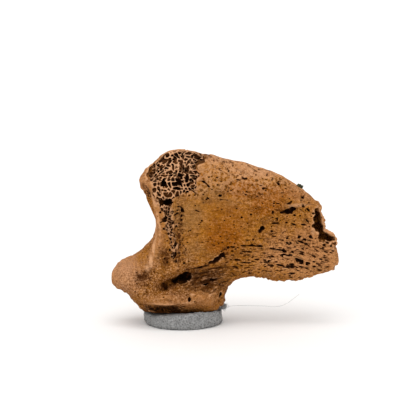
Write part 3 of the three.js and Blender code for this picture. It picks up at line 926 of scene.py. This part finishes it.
def mesh_piece(name, places, faces):
    """A mesh object from vertices in mm and faces of equal size."""
    mesh = bpy.data.meshes.new(name)
    mesh.vertices.add(len(places))
    mesh.vertices.foreach_set("co", (np.asarray(places) * MM).astype(np.float32).ravel())
    faces = np.asarray(faces)
    mesh.loops.add(faces.size)
    mesh.loops.foreach_set("vertex_index", faces.astype(np.int32).ravel())
    mesh.polygons.add(len(faces))
    starts = np.arange(0, faces.size, faces.shape[1], dtype=np.int32)
    mesh.polygons.foreach_set("loop_start", starts)
    mesh.polygons.foreach_set("use_smooth", np.ones(len(faces), bool))
    mesh.update(calc_edges=True)
    mesh.validate()
    return add_object(name, mesh)


def evaluated_mesh(piece):
    """The mesh that a piece's modifiers, or its curves, make of it."""
    bpy.context.view_layer.update()
    evaluated = piece.evaluated_get(bpy.context.evaluated_depsgraph_get())
    return bpy.data.meshes.new_from_object(evaluated)


def vertex_places(mesh):
    """Where a mesh's vertices lie, in mm."""
    places = np.empty(len(mesh.vertices) * 3, np.float32)
    mesh.vertices.foreach_get("co", places)
    return places.reshape(-1, 3) / MM


def add_map(mesh, name, values):
    """Keeps one number, or one vector, for each vertex, for the finish to follow."""
    values = np.asarray(values, np.float32)
    kind, slot = ("FLOAT", "value") if values.ndim == 1 else ("FLOAT_VECTOR", "vector")
    attribute = mesh.attributes.new(name, kind, "POINT")
    attribute.data.foreach_set(slot, values.ravel())


# ---- Finishes ----------------------------------------------------------------------------


class Value:
    """A number in a finish, which takes part in arithmetic by adding Math nodes."""

    def __init__(self, finish, socket):
        self.finish = finish
        self.socket = socket

    def math(self, operation, *values):
        sockets = dict(enumerate(values))
        return self.finish.node("Math", {"operation": operation}, sockets)

    def __add__(self, other):
        return self.math("ADD", self, other)

    def __sub__(self, other):
        return self.math("SUBTRACT", self, other)

    def __mul__(self, other):
        return self.math("MULTIPLY", self, other)

    def __rsub__(self, other):
        return self.math("SUBTRACT", other, self)

    __radd__ = __add__
    __rmul__ = __mul__

    def least(self, other):
        return self.math("MINIMUM", self, other)

    def most(self, other):
        return self.math("MAXIMUM", self, other)

    def size(self):
        return self.math("ABSOLUTE", self)


class Finish:
    """A material, built node by node. Its colour is laid on in layers."""

    def __init__(self, name):
        self.material = bpy.data.materials.new(name)
        self.material.use_nodes = True
        self.tree = self.material.node_tree
        self.tree.nodes.clear()
        self.colour = None

    def node(self, kind, settings, sockets, output=0):
        """A node of a kind, with its settings and then its sockets' values or links."""
        made = self.tree.nodes.new("ShaderNode" + kind)
        for name, value in settings.items():
            setattr(made, name, value)
        for name, value in sockets.items():
            socket = self.find(made.inputs, name)
            if isinstance(value, Value):
                self.tree.links.new(value.socket, socket)
            elif socket.type == "RGBA":
                socket.default_value = (*value[:3], 1)
            else:
                socket.default_value = value
        if made.outputs:
            return Value(self, self.find(made.outputs, output))
        return made

    @staticmethod
    def find(sockets, name):
        if isinstance(name, int):
            return sockets[name]
        return next(s for s in sockets if name in (s.identifier, s.name) and s.enabled)

    def mix(self, share, low, high):
        sockets = {"Factor_Float": share, "A_Color": low, "B_Color": high}
        return self.node("Mix", {"data_type": "RGBA"}, sockets, "Result_Color")

    def lay(self, share, tint):
        """Covers a share of the colour so far with another."""
        self.colour = self.mix(share, self.colour, tint)

    def blots(self, places, tint, place, wander, broken=1.0):
        """Lays a tint on in soft blots."""
        for centre, reach, strength in places:
            self.lay(self.stain(place, centre, reach, wander) * strength * broken, tint)

    def flecks(self, mask, rows):
        """Lays tints on by how a value climbs or falls: rows of value, where the change begins
        and ends, the shares before and after it, and the tint."""
        for value, low, high, start, end, tint in rows:
            self.lay(self.span(value, low, high, start, end) * mask, tint)

    def noise(self, place, scale, detail=4.0, roughness=0.55, twist=0.0):
        names = ("Vector", "Scale", "Detail", "Roughness", "Distortion")
        sockets = dict(zip(names, (place, scale, detail, roughness, twist)))
        return self.node("TexNoise", {}, sockets)

    def span(self, value, low, high, start=0.0, end=1.0):
        """A value's smooth climb from start to end as it goes from low to high."""
        sockets = {"Value": value, "From Min": low, "From Max": high}
        sockets.update({"To Min": start, "To Max": end})
        return self.node("MapRange", {"interpolation_type": "SMOOTHSTEP"}, sockets)

    def map(self, name, output="Fac"):
        return self.node("Attribute", {"attribute_name": name}, {}, output)

    def millimetres(self):
        place = self.node("TexCoord", {}, {}, "Object")
        scale = {"Vector": place, "Scale": 1 / MM}
        return self.node("VectorMath", {"operation": "SCALE"}, scale)

    def stretch(self, place, factors):
        return self.node("VectorMath", {"operation": "MULTIPLY"}, {0: place, 1: factors})

    def swing(self, place, angle):
        sockets = {"Vector": place, "Angle": angle}
        return self.node("VectorRotate", {"rotation_type": "Y_AXIS"}, sockets)

    def stain(self, place, centre, reach, wander):
        """How much of a soft blot lies at a place: 1 in its middle and 0 past its reach."""
        away = self.node("VectorMath", {"operation": "SUBTRACT"}, {0: place, 1: centre})
        away = self.stretch(away, tuple(1 / r for r in reach))
        length = self.node("VectorMath", {"operation": "LENGTH"}, {0: away}, "Value")
        return self.span(length + wander, 0.35, 1.15, 1.0, 0.0)

    def bump(self, height, distance):
        sockets = {"Height": height, "Distance": distance * MM, "Strength": 1.0}
        return self.node("Bump", {}, sockets)

    def surface(self, **sockets):
        named = {name.replace("_", " "): value for name, value in sockets.items()}
        shader = self.node("BsdfPrincipled", {}, named)
        self.node("OutputMaterial", {}, {"Surface": shader})
        return self.material


# Blots on the worn side, whose y is negative, and on the whole side, as (place, reach, share).
OCHRE_STAINS = [
    ((8.6, -5, 20), (5.6, 9, 3.6), 1), ((13.6, -4, 30.6), (5, 9, 2.6), 0.9),
    ((18.4, -4, 29.8), (4.4, 9, 2.2), 0.9), ((17.6, -4, 27.6), (5, 9, 3.4), 1),
    ((11, -4, 24.6), (6, 9, 4.6), 0.5), ((24, -4, 29.4), (3, 9, 1.4), 0.5),
    ((27, -4, 20), (5, 9, 4), 0.2), ((4, -5, 10.6), (5, 9, 2), 0.6),
    ((3.4, -4, 33.8), (1.8, 9, 1.4), 0.9), ((-5, -6, 24), (1, 9, 6), 0.4),
    ((-3, -7, 9.2), (2.4, 6, 1), 0.7), ((14, 5, 25), (8, 9, 6), 0.7), ((2, 5, 15), (4, 9, 6), 0.6),
    ((26, 4, 15), (5, 9, 3), 0.5),
]
# Paler blots: partly the bone's own paler tone, partly painted highlight along the top ridge and on
# the lit tops of the lip and the tubercle.
PALE_PLACES = [
    ((8, -3, 36.2), (11, 9, 3), 0.45), ((18, -1, 34.6), (12, 9, 2.4), 0.5),
    ((27, -2, 29.5), (5, 9, 2.4), 0.35), ((27, -5, 17), (11, 9, 8), 1),
    ((-6, -5, 21), (2.4, 9, 9), 0.2), ((-12.5, -3, 12.4), (4.5, 9, 3.6), 0.25),
    ((-5.2, -7, 6.6), (2.6, 9, 1), 0.15), ((4, -7, 8), (5, 9, 0.6), 0.3),
    ((-9, -2, 34), (3, 9, 4), 0.1), ((31, -2, 24), (2.4, 9, 4), 0.4),
    ((-6, 5, 21), (2.4, 9, 9), 0.4), ((16, 3, 34), (12, 9, 3), 0.45),
]
# Brown blots: earth in the vessel slit and the crushed strip, and painted shade under the tubercle,
# in the lip's fossa, the flank's hollow and the knob's notch.
EARTH_AND_SHADE_PLACES = [
    ((-4.6, -6, 4.2), (5.2, 6, 1.9), 1), ((5, -6, 3.9), (5, 6, 1), 0.4),
    ((-8.5, -6, 10.9), (2.3, 6, 1.6), 0.9), ((-7.2, -6, 12.6), (1.3, 6, 0.9), 0.7),
    ((-8.2, -7, 8.4), (0.8, 6, 1), 0.6), ((-4, -6, 16.2), (1.7, 6, 2.1), 0.75),
    ((-3.4, -6, 9.9), (1.8, 6, 1.1), 0.8), ((9.2, -5, 17), (0.9, 6, 1.1), 1),
    ((8.2, -5, 15.9), (0.9, 6, 0.9), 1), ((7, -5, 14.9), (1.1, 6, 0.8), 1),
    ((5.2, -5, 14.1), (1.3, 6, 0.5), 0.9), ((3, -5, 13.4), (1.6, 6, 0.4), 0.6),
    ((3.6, -6, 9.6), (6, 6, 1.6), 0.35), ((-7.7, -5, 29.6), (1.6, 6, 2.2), 1),
    ((23.2, -4, 25.9), (2.8, 5, 1), 0.6), ((-0.9, -5, 20.6), (1.3, 5, 7.6), 0.95),
    ((-1.1, -5, 18.4), (1.1, 5, 5.4), 0.9),
]
# Pinkish blots: partly fleshy smears, partly painted highlight along the top ridge, the joint's
# crest, the lip and the tubercle's top.
PINK_PLACES = [
    ((-12.8, -3, 11.6), (6, 10, 6), 0.85), ((-6.3, -6, 18.6), (0.5, 6, 2.8), 0.9),
    ((-7, -6, 14.8), (0.6, 6, 1.8), 0.9), ((-6.4, -5, 20), (2.4, 9, 8), 0.45),
    ((-8.8, -3, 33.4), (2.6, 9, 4.6), 0.6), ((6, -3, 37.6), (14, 9, 2.2), 0.8),
    ((19, -1, 35.2), (12, 9, 2.2), 0.8), ((27, -2, 30), (5, 9, 2.4), 0.6),
    ((0, -7, 6.2), (9.5, 6, 2.4), 0.7), ((27, -4, 17), (10, 9, 7), 0.35),
    ((-1, 4, 30), (9, 9, 9), 0.4),
]
OLIVE_PLACES = [
    ((0.6, -5, 24.6), (5, 9, 5.6), 0.7), ((6.2, -5, 30.4), (4.6, 9, 2.4), 0.5),
    ((9.4, -5, 27.6), (3, 9, 1.6), 0.5), ((2.6, -5, 18), (3, 9, 3), 0.5),
    ((12, 5, 19), (8, 9, 6), 0.5),
]
# Painted highlights along sharp edges: the joint's crest, the tubercle's ledge, the ridge by the
# lens pit, the tip's rim and the lip.
HIGHLIT_EDGES = [
    ((-6, -5, 21.4), (0.4, 7, 2.6), 0.8), ((-6.35, -6, 18), (0.4, 7, 2), 0.8),
    ((-6.95, -6, 15.2), (0.45, 7, 1.6), 0.8), ((-7.7, -6, 13.4), (0.6, 7, 0.8), 0.7),
    ((-4.6, -7, 5.9), (3.6, 6, 0.45), 0.5), ((25.4, -4, 27), (2.8, 6, 0.5), 0.5),
    ((28.6, -3, 21.4), (0.5, 6, 1.4), 0.5), ((-12.4, -3, 13.4), (4.2, 9, 3), 0.1),
]
# Painted shade, laid on in the near black hollow tint: under the tubercle's bulge and in the knob's
# notch.
SHADED_PLACES = [
    ((-4.4, -6, 4.1), (5.2, 6, 1.8), 1), ((-7.6, -5, 29.3), (0.9, 6, 1.6), 0.8),
]
# Where the foramen's hollows are painted black inside, as painted shade.
BLACK_HOLES = [
    ((0.4, -4, 11.4), (3.3, 8, 2.6)), ((0.4, 4, 11.4), (3.3, 8, 2.6)),
]
# Single blots as (place, reach): rugged ground, the lip of the joint, the crushed strip beside
# it, the wrinkled hollow, and the smoother middle of the blade.
RUGGED = ((-4.0, -5, 9.0), (15.0, 12, 9.0))
LIP = ((-12.4, -3, 12.4), (4.6, 10, 4.4))
CRUSHED = ((-0.9, -6, 20.6), (1.5, 9, 8.0))
FOSSA_STAIN = ((6.4, -6, 11.0), (8.0, 6, 3.4))
POLISHED = ((7.0, -4, 24.0), (11.0, 9, 9.0))


def bone_finish(colours):
    """Tan bone with orange stains, brown streaks along its fibres, and earth and painted shade in
    its pores and hollows; painted highlights lighten its edges and top ridge.
    """
    f = Finish("fossil_bone")
    place = f.millimetres()
    grain = f.map("grain", "Vector")
    deep, inner, spongy = f.map("deep"), f.map("inner"), f.map("spongy")
    hollow, basin, dashes = f.map("hollow"), f.map("basin"), f.map("dashes")
    x, z = (f.node("SeparateXYZ", {}, {"Vector": place}, axis) for axis in "XZ")
    wide = f.noise(place, 0.16, 3)
    mottle = f.noise(place, 0.7, 5, 0.62)
    fine = f.noise(place, 1.9, 4, 0.72)
    speck = f.noise(place, 4.2, 2, 0.6)
    streak = f.noise(f.stretch(grain, (0.3, 2.2, 1.0)), 1.0, 5, 0.66, 0.4)
    dash = f.noise(f.stretch(grain, (1.1, 4.2, 1.1)), 1.0, 1, 0.4)
    upper = f.span(z + wide * 10, 32.0, 37.0) * f.span(x, -6.0, 2.0)
    wander = (wide - 0.5) * 1.4 + (mottle - 0.5) * 0.6
    ragged = wander + (fine - 0.5) * 1.8 + (speck - 0.5) * 0.8
    busy = 1.1 - f.stain(place, *POLISHED, wander) * 0.45

    # broad colours
    f.colour = f.mix(f.span(mottle, 0.34, 0.62), colours.umber, colours.tan)
    f.lay(f.span(wide, 0.3, 0.7) * 0.5, colours.tan)
    # pale and pink blots, partly painted highlight on the top ridge and on lit tops
    f.blots(PALE_PLACES, colours.pale, place, wander)
    f.blots(PINK_PLACES, colours.pink, place, wander)
    f.blots(OLIVE_PLACES, colours.olive, place, wander)
    f.lay(f.span(f.noise(place, 0.45, 4, 0.6, 0.8), 0.52, 0.68) * 0.4, colours.olive)
    f.blots(OCHRE_STAINS, colours.ochre, place, wander)

    # streaks along the fibres, speckles, pits and hairlines
    f.flecks(busy, [
        (streak, 0.36, 0.5, 0.6, 0, colours.umber), (streak, 0.54, 0.66, 0, 0.4, colours.pale),
        (fine, 0.36, 0.48, 0.85, 0, colours.umber), (fine, 0.52, 0.64, 0, 0.6, colours.pale),
    ])
    # painted highlight: pink laid on the lip's lit front
    f.lay(f.stain(place, *LIP, ragged) * 0.6, colours.pink)
    rugged = f.stain(place, *RUGGED, wander)
    gritty = f.noise(place, 2.7, 3, 0.7)
    f.flecks(rugged, [
        (gritty, 0.4, 0.52, 0.95, 0, colours.umber), (gritty, 0.53, 0.62, 0, 0.65, colours.rubbed_and_highlight),
        (gritty, 0.34, 0.42, 0.8, 0, colours.brown),
    ])
    f.flecks(busy, [
        (speck, 0.34, 0.46, 0.55, 0, colours.brown), (speck, 0.56, 0.7, 0, 0.35, colours.rubbed_and_highlight),
    ])
    pit, rim = pits(f, place)
    crushed = f.stain(place, *CRUSHED, ragged)
    pit = pit * (upper * 0.8 + 0.2).most(crushed)
    f.lay(rim * upper * 0.35, colours.rubbed_and_highlight)
    fossa = f.stain(place, *FOSSA_STAIN, wander)
    swung = f.swing(place, 0.24)
    swirl = f.noise(f.stretch(swung, (0.4, 1.0, 2.5)), 1.0, 3, 0.6, 1.2)
    crease = f.span((swirl - 0.5).size(), 0.016, 0.05, 1.0, 0.0) * fossa
    f.flecks(fossa, [
        (swirl, 0.44, 0.5, 0.6, 0, colours.umber), (swirl, 0.52, 0.62, 0, 0.4, colours.rubbed_and_highlight),
        (fine, 0.44, 0.54, 0.45, 0, colours.brown),
    ])
    hair = hairlines(f, place) * f.span(x, 1.0, 3.0) * f.span(z, 14.0, 20.0)
    f.lay((hair * 0.85).most(crease * 0.9), colours.brown)

    # high and low places, with painted light: shade low down, highlights on edges and rises, and
    # earth and shade in dips
    # painted shade: the bone grows darker towards the bottom
    low = f.span(z + (wide - 0.5) * 2, 10.5, 5.0)
    f.lay(low * 0.33, colours.umber)
    # painted highlights along the sharp edges
    f.blots(HIGHLIT_EDGES, colours.rubbed_and_highlight, place, ragged)
    # brown blots of earth and of painted shade in the dips
    broken = f.span(fine, 0.4, 0.56, 1.0, 0.25)
    f.blots(EARTH_AND_SHADE_PLACES, colours.brown, place, ragged, broken)
    # painted shade under the tubercle and in the knob's notch, broken up a little by fine noise
    painted_shade_breakup = f.span(fine, 0.4, 0.56, 1.0, 0.6)
    f.blots(SHADED_PLACES, colours.hollow, place, ragged, painted_shade_breakup)
    # painted shade in broad dips, flecked, and painted highlight on broad rises
    flecked = f.span(gritty, 0.46, 0.58, 0.95, 0.45)
    f.lay(f.span(basin, 0.5, 0.66) * flecked, colours.brown)
    f.lay(f.span(basin, 0.42, 0.3) * 0.25, colours.pale)
    f.lay(spongy * f.span(deep, 0.22, 0.0) * 0.9, colours.lattice)
    # painted highlight on narrow ridges and rims
    f.lay(f.span(hollow, 0.4, 0.26) * 0.6, colours.rubbed_and_highlight)

    # insides, and painted shade that darkens the cavities, pores, creases and the foot
    wall = f.mix(f.span(fine, 0.44, 0.58), colours.brown, colours.umber)
    wall = f.mix(f.span(gritty, 0.5, 0.6) * 0.5, wall, colours.tan)
    f.lay(f.span(inner, 0.15, 0.9) * 0.9, wall)
    # painted shade: black deep inside the cavities and in the foramen's mouth
    depth = f.span(inner, 0.6, 1.4) * f.span(x, 20, 12)
    for centre, reach in BLACK_HOLES:
        mouth = f.stain(place, centre, reach, 0.0)
        depth = depth.most(mouth * f.span(inner, 0.05, 0.3))
    f.lay(depth, colours.hollow)
    # painted shade along the foot, where the bone meets the putty
    f.lay(f.span(z + (mottle - 0.5) * 1.4, 3.9, 3.2) * 0.8, colours.brown)
    # painted shade in narrow creases and corners
    f.lay(f.span(hollow, 0.54, 0.7) * 0.7, colours.brown)
    # earth and painted shade in the pores and cells: darker the deeper a place lies below the
    # bone's face, and the pits and dashes of the bump are darkened too
    near = deep * (1 - spongy * 0.4)
    f.lay(f.span(near, 0.05, 0.2) * 0.9, colours.brown)
    prick = f.span(dash, 0.36, 0.3) * (0.2 + dashes * 0.8)
    dark = f.span(near, 0.16, 0.45).most(prick * 0.9).most(pit * 0.8)
    f.lay(dark * 0.92, colours.hollow)
    rough = f.span(mottle, 0.3, 0.7, 0.52, 0.7).most(dark)
    relief = streak * 0.8 + fine * 1.3 + speck * 0.35 + gritty * rugged * 1.2
    relief = relief * (0.3 + busy * 0.8) - prick * 1.2 - pit - hair * 0.4 - crease * 0.8 + rim * 0.3
    normal = f.bump(relief, 0.16)
    return f.surface(Base_Color=f.colour, Roughness=rough, Normal=normal, Specular_IOR_Level=0.03)


def pits(f, place):
    """Small ragged pits in some of the cells of a bent crackle, and the pale rims round them."""
    bend = f.node("TexNoise", {}, {"Vector": place, "Scale": 1.4, "Detail": 2.0}, "Color")
    bend = f.node("VectorMath", {"operation": "SCALE"}, {"Vector": bend, "Scale": 1.3})
    bent = f.node("VectorMath", {"operation": "ADD"}, {0: place, 1: bend})
    cells = {"Vector": bent, "Scale": 1.25}
    away = f.node("TexVoronoi", {}, cells, "Distance")
    draw = f.node("SeparateColor", {}, {"Color": f.node("TexVoronoi", {}, cells, "Color")}, "Red")
    chosen = f.span(draw, 0.25, 0.6)
    size = 0.08 + 0.2 * draw
    pit = f.span(away, size, size + 0.14, 1.0, 0.0) * chosen
    rim = f.span(away, 0.42, 0.62)
    return pit, rim


def hairlines(f, place):
    """Fine curved scratches, in patches that run two ways."""
    lines = 0.0
    for angle, patch in ((0.6, 3.0), (-0.1, 7.0)):
        bent = f.noise(f.stretch(f.swing(place, angle), (0.22, 1.0, 1.3)), 1.0, 2, 0.4, 0.5)
        line = f.span((bent - 0.43).size(), 0.003, 0.014, 1.0, 0.0)
        zone = f.noise(f.stretch(place, (1.0, 0.3, 1.0)), 1 / patch, 1)
        lines = line * f.span(zone, 0.5, 0.6) + lines
    return lines.least(1.0)


def putty_finish(colours):
    """Matt grey putty with fine dark and light specks."""
    f = Finish("putty")
    place = f.millimetres()
    speck = f.noise(place, 2.6, 4, 0.75)
    grit = f.noise(place, 1.6, 3, 0.6)
    cloudy = f.noise(place, 0.5, 3)
    f.colour = f.mix(f.span(speck, 0.36, 0.5, 0.75, 0.0), colours.grey, colours.dark)
    f.flecks(1.0, [
        (speck, 0.5, 0.62, 0, 0.75, colours.light), (grit, 0.33, 0.4, 0.7, 0, colours.dark),
        (cloudy, 0.4, 0.7, 0, 0.25, colours.dark),
    ])
    normal = f.bump(speck + grit * 0.6, 0.3)
    return f.surface(Base_Color=f.colour, Roughness=0.8, Normal=normal, Specular_IOR_Level=0.2)


def earth_finish():
    """Dark grey-green earth."""
    f = Finish("earth")
    grain = f.noise(f.millimetres(), 3.0, 4, 0.6)
    f.colour = f.mix(f.span(grain, 0.35, 0.65), (0.02, 0.022, 0.012), (0.09, 0.09, 0.05))
    return f.surface(Base_Color=f.colour, Roughness=0.95, Specular_IOR_Level=0.1)


def plain_finish(name, colour, roughness):
    f = Finish(name)
    return f.surface(Base_Color=(*colour, 1), Roughness=roughness)


# ---- Operators ---------------------------------------------------------------------------


def finish_piece(piece, material, node=None):
    piece.data.materials.clear()
    piece.data.materials.append(material)
    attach(piece, BODY)
    if node:
        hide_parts(node)


class FOSSIL_OT_claw_core(bpy.types.Operator):
    """Sculpt the bone with its pores, hollows and spongy patches"""

    bl_idname = "fossil.claw_core"
    bl_label = "Claw core"

    def execute(self, context):
        shape = context.scene.claw_shape
        voxel = shape.voxel
        claw = Claw(shape, voxel)
        places, faces = biggest_piece(*claw.block.surface())
        piece = mesh_piece("fossil_claw_core", places, faces)
        thin = piece.modifiers.new("Thin", "DECIMATE")
        thin.ratio = min(1, shape.triangles / (2 * len(faces)))
        made = evaluated_mesh(piece)
        piece.modifiers.clear()
        piece.data = made
        self.add_maps(piece.data, claw)
        finish_piece(piece, bone_finish(context.scene.bone_finish), "claw_core")
        return {"FINISHED"}

    def add_maps(self, mesh, claw):
        block = claw.block
        places = vertex_places(mesh)
        fibre = block.at(places, np.broadcast_to(claw.fibre[:, None, :], block.field.shape))
        spongy = block.at(places, claw.spongy)
        low_blade = smooth_step(5, 12, places[:, 0]) * (1 - smooth_step(18, 25, places[:, 2]))
        add_map(mesh, "deep", np.maximum(0, -block.at(places, claw.opened)))
        add_map(mesh, "inner", np.maximum(0, -block.at(places, claw.outer)) * (1 - spongy))
        add_map(mesh, "spongy", spongy)
        add_map(mesh, "hollow", block.at(places, block.crowding(0.4)))
        add_map(mesh, "basin", block.at(places, block.crowding(1.5)))
        add_map(mesh, "dashes", low_blade * (1 - spongy))
        add_map(mesh, "grain", np.stack([places[:, 0], fibre, places[:, 1]], axis=1))


PAD_BLOCK = ((-9.2, -9.2, -0.4), (9.2, 9.2, 4.6))
PAD_VOXEL, PAD_SEED = 0.13, 11
PAD_RADIUS = 8.5
PAD_HEIGHT = 3.15
PAD_TOP_ROUND = 0.8
PAD_FOOT_ROUND = 0.95
PAD_UNEVENNESS = 0.22
PAD_WAVES = [(1, -0.5, 1.6), (2, 0.9, 1.2), (3, 0.3, 2.0)]  # waves round the rim, share, phase
PAD_TILT = 0.055  # rise of the top to each mm towards the tip
PAD_FRONT_RISE = 0.45  # how much higher the top is in front
PAD_PRINT = (8.2, 5.6)  # half sizes of the place that the bone presses into
PAD_PRINT_TOP = 2.85


class FOSSIL_OT_putty_pad(bpy.types.Operator):
    """Press the pad of putty that the claw stands on"""

    bl_idname = "fossil.putty_pad"
    bl_label = "Putty pad"

    def execute(self, context):
        block = Block(*PAD_BLOCK, PAD_VOXEL, PAD_SEED)
        angle = np.arctan2(block.y, block.x)
        rim = PAD_RADIUS
        for count, share, phase in PAD_WAVES:
            rim = rim + PAD_UNEVENNESS * share * np.sin(count * angle + phase)
        wide, mid, fine = block.cloud(3.0), block.cloud(0.9), block.cloud(0.35)
        wall = np.sqrt(block.x**2 + block.y**2) - rim + 0.1 * wide
        pressed = np.sqrt((block.x / PAD_PRINT[0]) ** 2 + (block.y / PAD_PRINT[1]) ** 2)
        top = PAD_HEIGHT + PAD_TILT * block.x + PAD_FRONT_RISE * smooth_step(4, 7, -block.y)
        top = PAD_PRINT_TOP + (top - PAD_PRINT_TOP) * smooth_step(0.95, 1.12, pressed)
        lid = block.z - top + 0.08 * wide
        field = self.rounded(wall, lid, PAD_TOP_ROUND)
        field = np.maximum(field, self.rounded(wall, -block.z, PAD_FOOT_ROUND))
        block.field = (field + 0.05 * mid + 0.045 * fine).astype(np.float32)
        places, faces = biggest_piece(*block.surface())
        places[:, 2] = np.maximum(places[:, 2], 0)
        piece = mesh_piece("pressed_putty_pad", places, faces)
        finish_piece(piece, putty_finish(context.scene.pad_shape), "putty_pad")
        return {"FINISHED"}

    @staticmethod
    def rounded(a, b, rounding):
        """The space inside both fields, with its edge rounded."""
        corner = np.hypot(np.maximum(a + rounding, 0), np.maximum(b + rounding, 0))
        return corner + np.minimum(np.maximum(a, b) + rounding, 0) - rounding


CRUMB = (25.6, -0.3, 30.9)
CRUMB_ROOM, CRUMB_VOXEL, CRUMB_SEED = 1.5, 0.07, 5
CRUMB_LUMPS = [((0, 0, 0), 0.5), ((0.55, 0.1, -0.2), 0.42), ((-0.45, -0.1, -0.1), 0.3)]
LINT_ROOT = (8.5, -0.6, 3.3)
LINT_TUFT = (9.1, -0.8, 3.85)
LINT_FIBRES, LINT_SEED = 80, 3
HAIR = [(9.2, -0.8, 3.8), (12.5, -1.6, 4.2), (17.0, -1.0, 4.0), (22.2, 0.4, 3.8), (26.0, 1.2, 6.2)]


class FOSSIL_OT_specks(bpy.types.Operator):
    """Drop a crumb of earth on the ridge, and lint beside the putty"""

    bl_idname = "fossil.specks"
    bl_label = "Crumb and lint"

    def execute(self, context):
        low, high = ([c + room for c in CRUMB] for room in (-CRUMB_ROOM, CRUMB_ROOM))
        block = Block(low, high, CRUMB_VOXEL, CRUMB_SEED)
        block.field = np.full((1, 1, 1), 9.0)
        for shift, size in CRUMB_LUMPS:
            away = [axis - c - d for axis, c, d in zip((block.x, block.y, block.z), CRUMB, shift)]
            block.field = np.minimum(block.field, np.sqrt(sum(a * a for a in away)) - size)
        block.field = block.field + 0.12 * block.cloud(0.35) + 0.04 * block.cloud(0.15)
        crumb = mesh_piece("crumb_of_earth", *biggest_piece(*block.surface()))
        finish_piece(crumb, earth_finish())
        rng = np.random.default_rng(LINT_SEED)
        lines = []
        for _ in range(LINT_FIBRES):
            spots = rng.normal(LINT_TUFT, (0.34, 0.4, 0.25), (5, 3))
            spots[0] = rng.normal(LINT_ROOT, (0.2, 0.3, 0.15))
            lines.append((spots, 0.022))
        lines.append((np.array(HAIR), 0.03))
        lint = self.fibres(lines)
        finish_piece(lint, plain_finish("lint", (0.42, 0.42, 0.42), 0.9))
        return {"FINISHED"}

    def fibres(self, lines):
        """Thin threads along smooth curves through their points, as one piece."""
        curve = bpy.data.curves.new("lint_tuft", "CURVE")
        curve.dimensions = "3D"
        curve.bevel_depth = MM
        curve.bevel_resolution = 0
        curve.resolution_u = 6
        for spots, radius in lines:
            spline = curve.splines.new("BEZIER")
            spline.bezier_points.add(len(spots) - 1)
            for point, spot in zip(spline.bezier_points, spots):
                point.co = Vector(spot) * MM
                point.radius = radius
                point.handle_left_type = point.handle_right_type = "AUTO"
        drawn = add_object("drawn_fibres", curve)
        mesh = evaluated_mesh(drawn)
        bpy.data.objects.remove(drawn)
        return add_object("lint_tuft", mesh)


AIM = (5.53, 0.0, 25.9)  # what the camera looks at, in mm
SUN_FROM = (-0.12, -0.3, 1)
FLOOR_REACH = 12000  # half the floor's width, in mm
FLOOR_CORNERS = [(-1, -1), (1, -1), (1, 1), (-1, 1)]


class FOSSIL_OT_stage(bpy.types.Operator):
    """Lay the white floor and set the lights and the camera"""

    bl_idname = "fossil.stage"
    bl_label = "Studio"

    def execute(self, context):
        scene = context.scene
        studio = scene.studio
        scene.view_settings.view_transform = "Standard"
        scene.world = bpy.data.worlds.new("white_room")
        scene.world.use_nodes = True
        background = scene.world.node_tree.nodes["Background"].inputs
        background["Color"].default_value = (1, 1, 1, 1)
        background["Strength"].default_value = studio.sky
        corners = [(x * FLOOR_REACH, y * FLOOR_REACH, 0) for x, y in FLOOR_CORNERS]
        floor = mesh_piece("white_floor", np.array(corners, float), [(0, 1, 2, 3)])
        floor.data.materials.append(plain_finish("white_floor", (0.9, 0.885, 0.87), 0.7))
        self.add_sun(studio.key)
        scene.camera = self.add_camera(studio)
        return {"FINISHED"}

    def add_sun(self, strength):
        sun = bpy.data.lights.new("soft_sun", "SUN")
        sun.energy = strength
        sun.angle = math.radians(60)
        made = add_object("soft_sun", sun)
        made.rotation_euler = Vector(SUN_FROM).to_track_quat("Z", "Y").to_euler()

    def add_camera(self, studio):
        camera = bpy.data.cameras.new("camera")
        camera.lens = studio.lens
        camera.sensor_width = 36
        camera.clip_start = 0.01
        made = add_object("camera", camera)
        angle = studio.elevation
        out = Vector((0, -math.cos(angle), math.sin(angle)))
        made.location = Vector(AIM) * MM + out * studio.distance
        made.rotation_euler = (-out).to_track_quat("-Z", "Y").to_euler()
        return made


class FOSSIL_PT_panel(bpy.types.Panel):
    """Lists the pieces of the fossil claw"""

    bl_idname = "FOSSIL_PT_panel"
    bl_label = "Fossil claw"
    bl_space_type = "VIEW_3D"
    bl_region_type = "UI"
    bl_category = "Fossil claw"

    def draw(self, context):
        for maker in MAKERS:
            self.layout.operator(maker.bl_idname)


MAKERS = (FOSSIL_OT_stage, FOSSIL_OT_claw_core, FOSSIL_OT_putty_pad, FOSSIL_OT_specks)
GROUPS = {
    "claw_shape": ClawShape,
    "bone_finish": BoneFinish,
    "pad_shape": PadShape,
    "studio": Studio,
}


def register():
    for made in (*GROUPS.values(), *MAKERS, FOSSIL_PT_panel):
        bpy.utils.register_class(made)
    for name, group in GROUPS.items():
        setattr(bpy.types.Scene, name, bpy.props.PointerProperty(type=group))


def unregister():
    for name in GROUPS:
        delattr(bpy.types.Scene, name)
    for made in reversed((*GROUPS.values(), *MAKERS, FOSSIL_PT_panel)):
        bpy.utils.unregister_class(made)


def main():
    register()
    bpy.ops.fossil.stage()
    bpy.ops.fossil.claw_core()
    bpy.ops.fossil.putty_pad()
    bpy.ops.fossil.specks()


if __name__ == "__main__":
    main()
